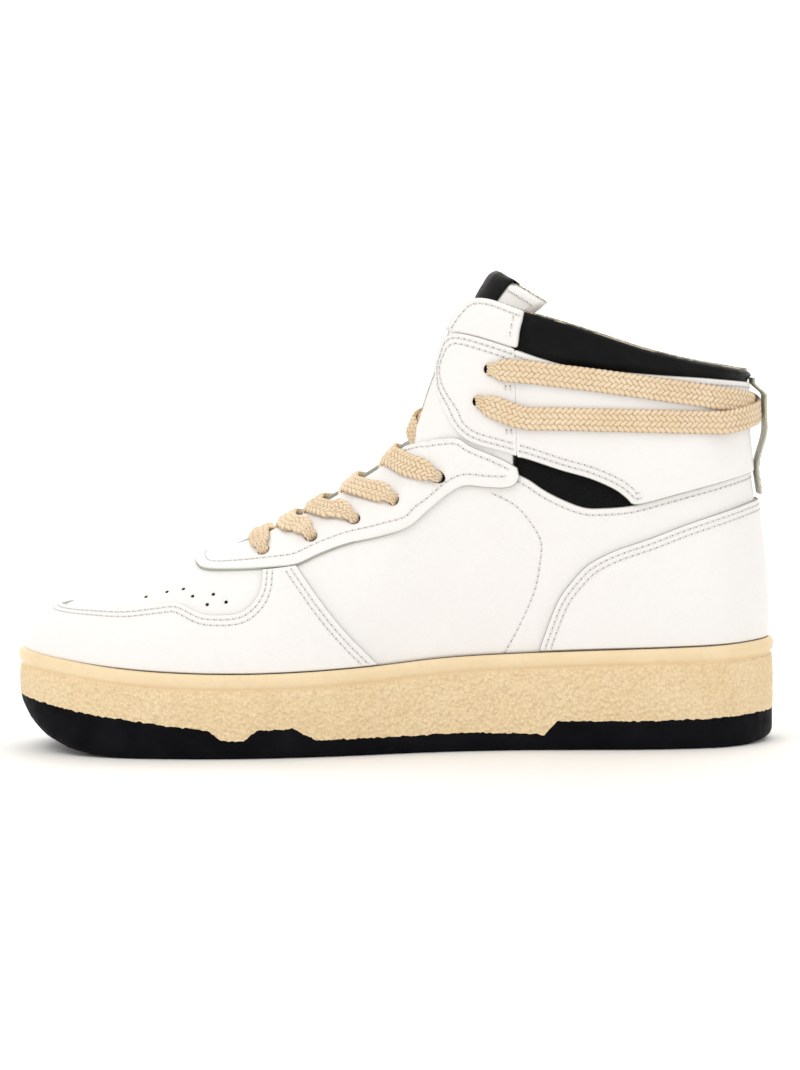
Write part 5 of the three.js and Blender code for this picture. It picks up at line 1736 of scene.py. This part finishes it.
def sweep_smooth(points, values, step):
    """Centripetal curve through points; returns even points and the values there."""
    p = np.array(points)
    ends = [2 * p[0] - p[1]], [2 * p[-1] - p[-2]]
    q = np.vstack([ends[0], p, ends[1]])
    knots = np.concatenate([[0], np.cumsum(np.sqrt(np.linalg.norm(np.diff(q, axis=0), axis=1))
                                           + 1e-6)])
    fine, tag = [], []
    for i in range(1, len(q) - 2):
        t0, t1, t2, t3 = knots[i - 1:i + 3]
        t = np.linspace(t1, t2, 14, endpoint=False)[:, None]
        a1 = (t1 - t) / (t1 - t0) * q[i - 1] + (t - t0) / (t1 - t0) * q[i]
        a2 = (t2 - t) / (t2 - t1) * q[i] + (t - t1) / (t2 - t1) * q[i + 1]
        a3 = (t3 - t) / (t3 - t2) * q[i + 1] + (t - t2) / (t3 - t2) * q[i + 2]
        b1 = (t2 - t) / (t2 - t0) * a1 + (t - t0) / (t2 - t0) * a2
        b2 = (t3 - t) / (t3 - t1) * a2 + (t - t1) / (t3 - t1) * a3
        fine.append((t2 - t) / (t2 - t1) * b1 + (t - t1) / (t2 - t1) * b2)
        tag.append(i - 1 + (t[:, 0] - t1) / (t2 - t1))
    fine = np.vstack(fine + [p[-1:]])
    tag = np.concatenate(tag + [[len(p) - 1]])
    run = length_along(fine)
    at = np.linspace(0, run[-1], int(run[-1] / step))
    even = np.stack([np.interp(at, run, fine[:, k]) for k in range(3)], 1)
    place = np.interp(at, run, tag)
    index = np.arange(len(p))
    out = [np.stack([np.interp(place, index, v[:, k]) for k in range(v.shape[1])], 1)
           for v in values]
    return even, at, out


points = [r[0] for r in route]
line = np.gradient(np.array(points), axis=0)
wides = []
for (p, n, w), go in zip(route, line):
    wide = unit(np.cross(n, go))
    if wides and wide.dot(wides[-1]) < 0:
        wide = -wide
    wides.append(wide)
centre, along, (wide, width) = sweep_smooth(points, [np.array(wides),
                                                     np.array([[r[2]] for r in route])], LACE_STEP)
free = smooth(0.88, 0.99, width[1:-1] / LACE_W) * 0.5
for _ in range(45):
    centre[1:-1] += free * ((centre[:-2] + centre[2:]) / 2 - centre[1:-1])
for _ in range(14):
    wide[1:-1] = (wide[:-2] + wide[1:-1] * 2 + wide[2:]) / 4
go = np.gradient(centre, axis=0)
go /= np.linalg.norm(go, axis=1, keepdims=True)
wide -= go * (wide * go).sum(1, keepdims=True)
wide /= np.linalg.norm(wide, axis=1, keepdims=True)
thick = np.cross(go, wide)
LACE_LENGTH = along[-1] + along[1]
print("lace length:", round(LACE_LENGTH / 1000, 3), "m")

half_count = 33
top_u = np.linspace(-1, 1, half_count)
ring_u = np.concatenate([top_u, top_u[::-1]])
ring_v = np.concatenate([np.ones(half_count), -np.ones(half_count)])
round_off = np.sqrt(np.clip(1 - np.abs(ring_u)**7, 0, 1))
column = np.clip(np.floor((ring_u + 1) / 2 * BRAID_COLUMNS), 0, BRAID_COLUMNS - 1)
inside_column = (ring_u + 1) / 2 * BRAID_COLUMNS - column
slant = np.where(column % 2 == 0, 1, -1) * ring_v
phase = along[:, None] / BRAID_PITCH + slant * (inside_column - 0.5) * 0.85 + column * 0.5
strand = np.abs(np.sin(math.pi * phase))**0.7
relief = BRAID_RELIEF * (strand * np.sin(math.pi * np.clip(inside_column, 0.04, 0.96))**0.5 - 0.6)
pinch = 1 - width[:, 0] / LACE_W
body = (LACE_T / 2 * (1 + 0.5 * pinch))[:, None] * ring_v * round_off + relief * ring_v * round_off
waver = 1 + 0.018 * np.sin(2 * math.pi * along / BRAID_PITCH)
sideways = ring_u * (width[:, 0] * waver / 2)[:, None]
cup = (pinch * 1.3)[:, None] * (ring_u**2 - 0.4)
lace_points = (centre[:, None] + wide[:, None] * sideways[..., None]
               + thick[:, None] * (body + cup)[..., None])
slack = 0.25 * rough(centre, 17, 51)
lace_points += thick[:, None] * slack[:, None, None]

lace_cloth = Finish("lace_cloth", (0.80, 0.63, 0.43), 0.85, Sheen_Weight=0.15)
lace_cloth.tint(lace_cloth.grain(9), 0.35, 0.7, (0.84, 0.69, 0.50))
lace_cloth.tint(lace_cloth.grain(0.45, 4), 0.5, 0.75, (0.60, 0.42, 0.23), 0, 0.45)
lace_cloth.bump(lace_cloth.grain(0.35, 4), 0.07)
# The lowest faces between the strands get a darker cloth: painted shade in the gaps of the braid.
lace_gap_shade = Finish("lace_gap_shade", (0.47, 0.33, 0.19), 0.95)
lace_gap_shade.tint(lace_gap_shade.grain(4), 0.35, 0.7, (0.60, 0.44, 0.27))
lace_gap_shade.bump(lace_gap_shade.grain(0.35, 4), 0.07)
low_relief = relief < -0.1 * BRAID_RELIEF
shaded_gap_faces = (low_relief & np.roll(low_relief, -1, 1))[:-1].astype(int).ravel()
lace_piece = piece("lace_braid", lace_points.reshape(-1, 3),
                   grid_faces(len(centre), len(ring_u), wrap=True), [lace_cloth, lace_gap_shade],
                   slot="lace_cloth", nodes=["lace"], face_finish=shaded_gap_faces)
face_outwards(lace_piece)

# %% [markdown]
# ## The lace tips
# A clear film is shrunk onto each end so that the lace can be threaded. Each tip is a short
# lathe shape: a slim barrel with a rounded nose.

# %% Lace tips
tip_film = Finish("tip_film", (0.72, 0.60, 0.42), 0.22, Coat_Weight=0.4)
tip_film.tint(tip_film.grain(0.8), 0.4, 0.7, (0.62, 0.5, 0.33))
tip_film.bump(tip_film.grain(0.5), 0.03)
for word, end, before in (("medial", points[-1], points[-2]), ("lateral", points[0], points[1])):
    axis = unit(end - before)
    across = unit(np.cross(axis, [0.3, 0.1, 1]))
    other = np.cross(axis, across)
    shape = [(0.2, 0.0), (0.25, 1.1), (0.7, 1.28), (2.5, 1.2), (5.5, 1.15), (7.4, 1.05),
             (8.0, 0.7), (8.2, 0.0)]
    turn = np.linspace(0, 2 * math.pi, 18, endpoint=False)
    rings = [end + axis * s + r * (np.cos(turn)[:, None] * across
                                   + np.sin(turn)[:, None] * other) for s, r in shape]
    made = piece(f"lace_tip_{word}", np.concatenate(rings), grid_faces(len(rings), 18, wrap=True),
                 [tip_film], slot="lace_tip", nodes=[f"aglet_{word}"])
    face_outwards(made)

# %% [markdown]
# ## The heel loop
# A strip of folded webbing is sewn down the back. It stands off the heel where the lace passes
# behind it. The strip is a swept section with woven ribs and a coloured binding along both
# edges.

# %% Heel loop
LOOP_W, LOOP_T = 16.0, 1.4
webbing = Finish("heel_webbing", (0.80, 0.77, 0.73), 0.8, Sheen_Weight=0.15)
webbing.tint(webbing.grain(6), 0.4, 0.7, (0.84, 0.82, 0.78))
webbing.bump(webbing.grain(0.4, 4), 0.08)
binding = Finish("loop_binding", (0.52, 0.54, 0.42), 0.85)
binding.tint(binding.grain(0.8), 0.4, 0.7, (0.66, 0.67, 0.56))
binding.bump(binding.grain(0.3), 0.06)


def loop_bulge(z):
    return (LACE_T * 2 + 1.9) * smooth(105, 124, z) * (1 - smooth(136.5, 142.5, z))


rings = []
loop_z = np.arange(97.0, 144.0, 0.55)
section_y = np.concatenate([np.linspace(-1, 1, 25), np.linspace(1, -1, 25)])
section_d = np.concatenate([np.ones(25), np.zeros(25)])
for i, z in enumerate(loop_z):
    place = (0.0, height_at(0.0, z))
    near = OVER_TOP + 0.25 + loop_bulge(z)
    n = lean(place)
    rib = 0.07 * math.sin(i * 2.0)
    curl = 0.5 * np.abs(section_y)**6
    d = near + section_d * (LOOP_T - curl + rib) + (1 - section_d) * curl * 0.3
    base = surface(*place)
    rings.append(np.stack([base[0] + n[0] * d, section_y * LOOP_W / 2, base[2] + n[2] * d], 1))
strip_faces = grid_faces(len(rings), 50, wrap=True)
edge_columns = np.arange(len(strip_faces)) % 50
kinds = np.isin(edge_columns, [0, 1, 22, 23, 24, 25, 26, 47, 48, 49]).astype(int)
heel_strip = piece("heel_loop_webbing", np.concatenate(rings), strip_faces, [webbing, binding],
                   slot="white_webbing", nodes=["heel_loop"], face_finish=kinds)
face_outwards(heel_strip)


def heel_chain(y, low_z, high_z):
    z = np.arange(low_z, high_z, 1.0)
    out_p, out_n = [], []
    for value in z:
        place = (0.0, height_at(0.0, value))
        n = lean(place)
        d = OVER_TOP + 0.25 + loop_bulge(value) + LOOP_T - 0.02
        p = surface(*place) + n * d
        out_p.append([p[0], y, p[2]])
        out_n.append(n)
    return np.array(out_p), np.array(out_n)


stitches("heel_loop_stitches", [(y, 98, 111) for y in (-5.6, 5.6)]
         + [(y, 141.8, 143.6) for y in (-5.6, 5.6)], 0,
         place=heel_chain, slot="white_webbing")

# %% [markdown]
# ## The footbed
# A removable footbed lies on the board: brushed cloth over foam. It is only seen through the
# mouth of the shoe, yet it lifts on its own joint, so it is a whole piece with a softly crowned
# top.

# %% Footbed
bed_cloth = Finish("footbed_cloth", (0.66, 0.62, 0.54), 0.92, Sheen_Weight=0.25)
bed_cloth.tint(bed_cloth.grain(14), 0.35, 0.7, (0.72, 0.69, 0.62))
bed_cloth.bump(bed_cloth.cells(0.6), 0.12)
bed_foam = Finish("footbed_foam", (0.72, 0.68, 0.58), 0.9)
bed_foam.tint(bed_foam.grain(1.2), 0.4, 0.7, (0.64, 0.6, 0.5))
bed_foam.bump(bed_foam.cells(0.7), 0.1)
bed_t = np.linspace(0, COUNT, 600, endpoint=False)
bed_ring = offset(bed_t, np.full(600, -0.6), LINE_IN - 0.8)
BED_DOWN, BED_UP = 7.7, 4.2
lattice = np.stack(np.meshgrid(np.arange(-142, 142, 2.5), np.arange(-50, 55, 2.5),
                               indexing="ij"), -1).reshape(-1, 2)
lattice = lattice[inside_loop(lattice, bed_ring[::3, :2])]
rim_tree = tree_of(np.c_[bed_ring[:, :2], np.zeros(600)])
far = distance_to(rim_tree, np.c_[lattice, np.zeros(len(lattice))])
lattice = lattice[far > 1.6]
flat, triangles, where = fill(bed_ring[:, :2], lattice)
far = distance_to(rim_tree, np.c_[flat, np.zeros(len(flat))])
crown = 0.5 * smooth(0, 1.5, far) - 0.6 * smooth(8, 30, far)
top = np.c_[flat, rim_at(flat[:, 0]) - BED_UP + crown - 0.3]
count = 600
skirt = []
for f in (0.0, 0.35, 0.7, 1.0):
    z = rim_at(bed_ring[:, 0]) - BED_UP - 0.3 - f * (BED_DOWN - BED_UP - 0.3)
    skirt.append(np.c_[bed_ring[:, :2], z])
faces = triangles.tolist() + grid_faces(4, count, wrap=True, start=len(top)).tolist()
faces += (triangles + len(top) + 4 * count).tolist()
under = np.c_[flat, rim_at(flat[:, 0]) - BED_DOWN]
kinds = [0] * len(triangles) + [1] * (3 * count + len(triangles))
bed = piece("footbed_pad", np.concatenate([top, *skirt, under]), faces, [bed_cloth, bed_foam],
            body="footbed", slot="footbed_cloth", nodes=["sockliner"], face_finish=kinds)
face_outwards(bed)

# %% [markdown]
# ## What stays hidden
# The CAD also holds the foam, the board and the stiffeners inside the shoe. They are the right
# shape and hardly seen, so they keep their CAD bodies and only get true finishes.

# %% Finishes for the hidden parts
foam = Finish("midsole_foam_finish", (0.72, 0.68, 0.58), 0.9)
foam.tint(foam.grain(1.4), 0.4, 0.7, (0.65, 0.61, 0.5))
foam.bump(foam.cells(0.8), 0.1)
board = Finish("board_finish", (0.40, 0.29, 0.17), 0.9)
board.tint(board.grain(1.1, 5), 0.4, 0.7, (0.5, 0.38, 0.24))
board.bump(board.grain(0.5, 5), 0.1)
for name, finish in {"midsole_foam": foam, "insole_board": board, "toe_puff": backing,
                     "heel_counter": backing, "eyestay_backing": backing}.items():
    node = frame["nodes"][name]
    node.data.materials.clear()
    node.data.materials.append(finish.material)
shown = [n for n, o in frame["nodes"].items() if not o.hide_render]
print("CAD nodes still shown:", sorted(shown))

# %% [markdown]
# The CAD decides how big the shoe is. Soft pieces may stand a little proud of it, so both boxes
# are written down to be compared.

low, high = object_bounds()
print("cad box", cad_low, cad_high)
print("visual box", low, high)
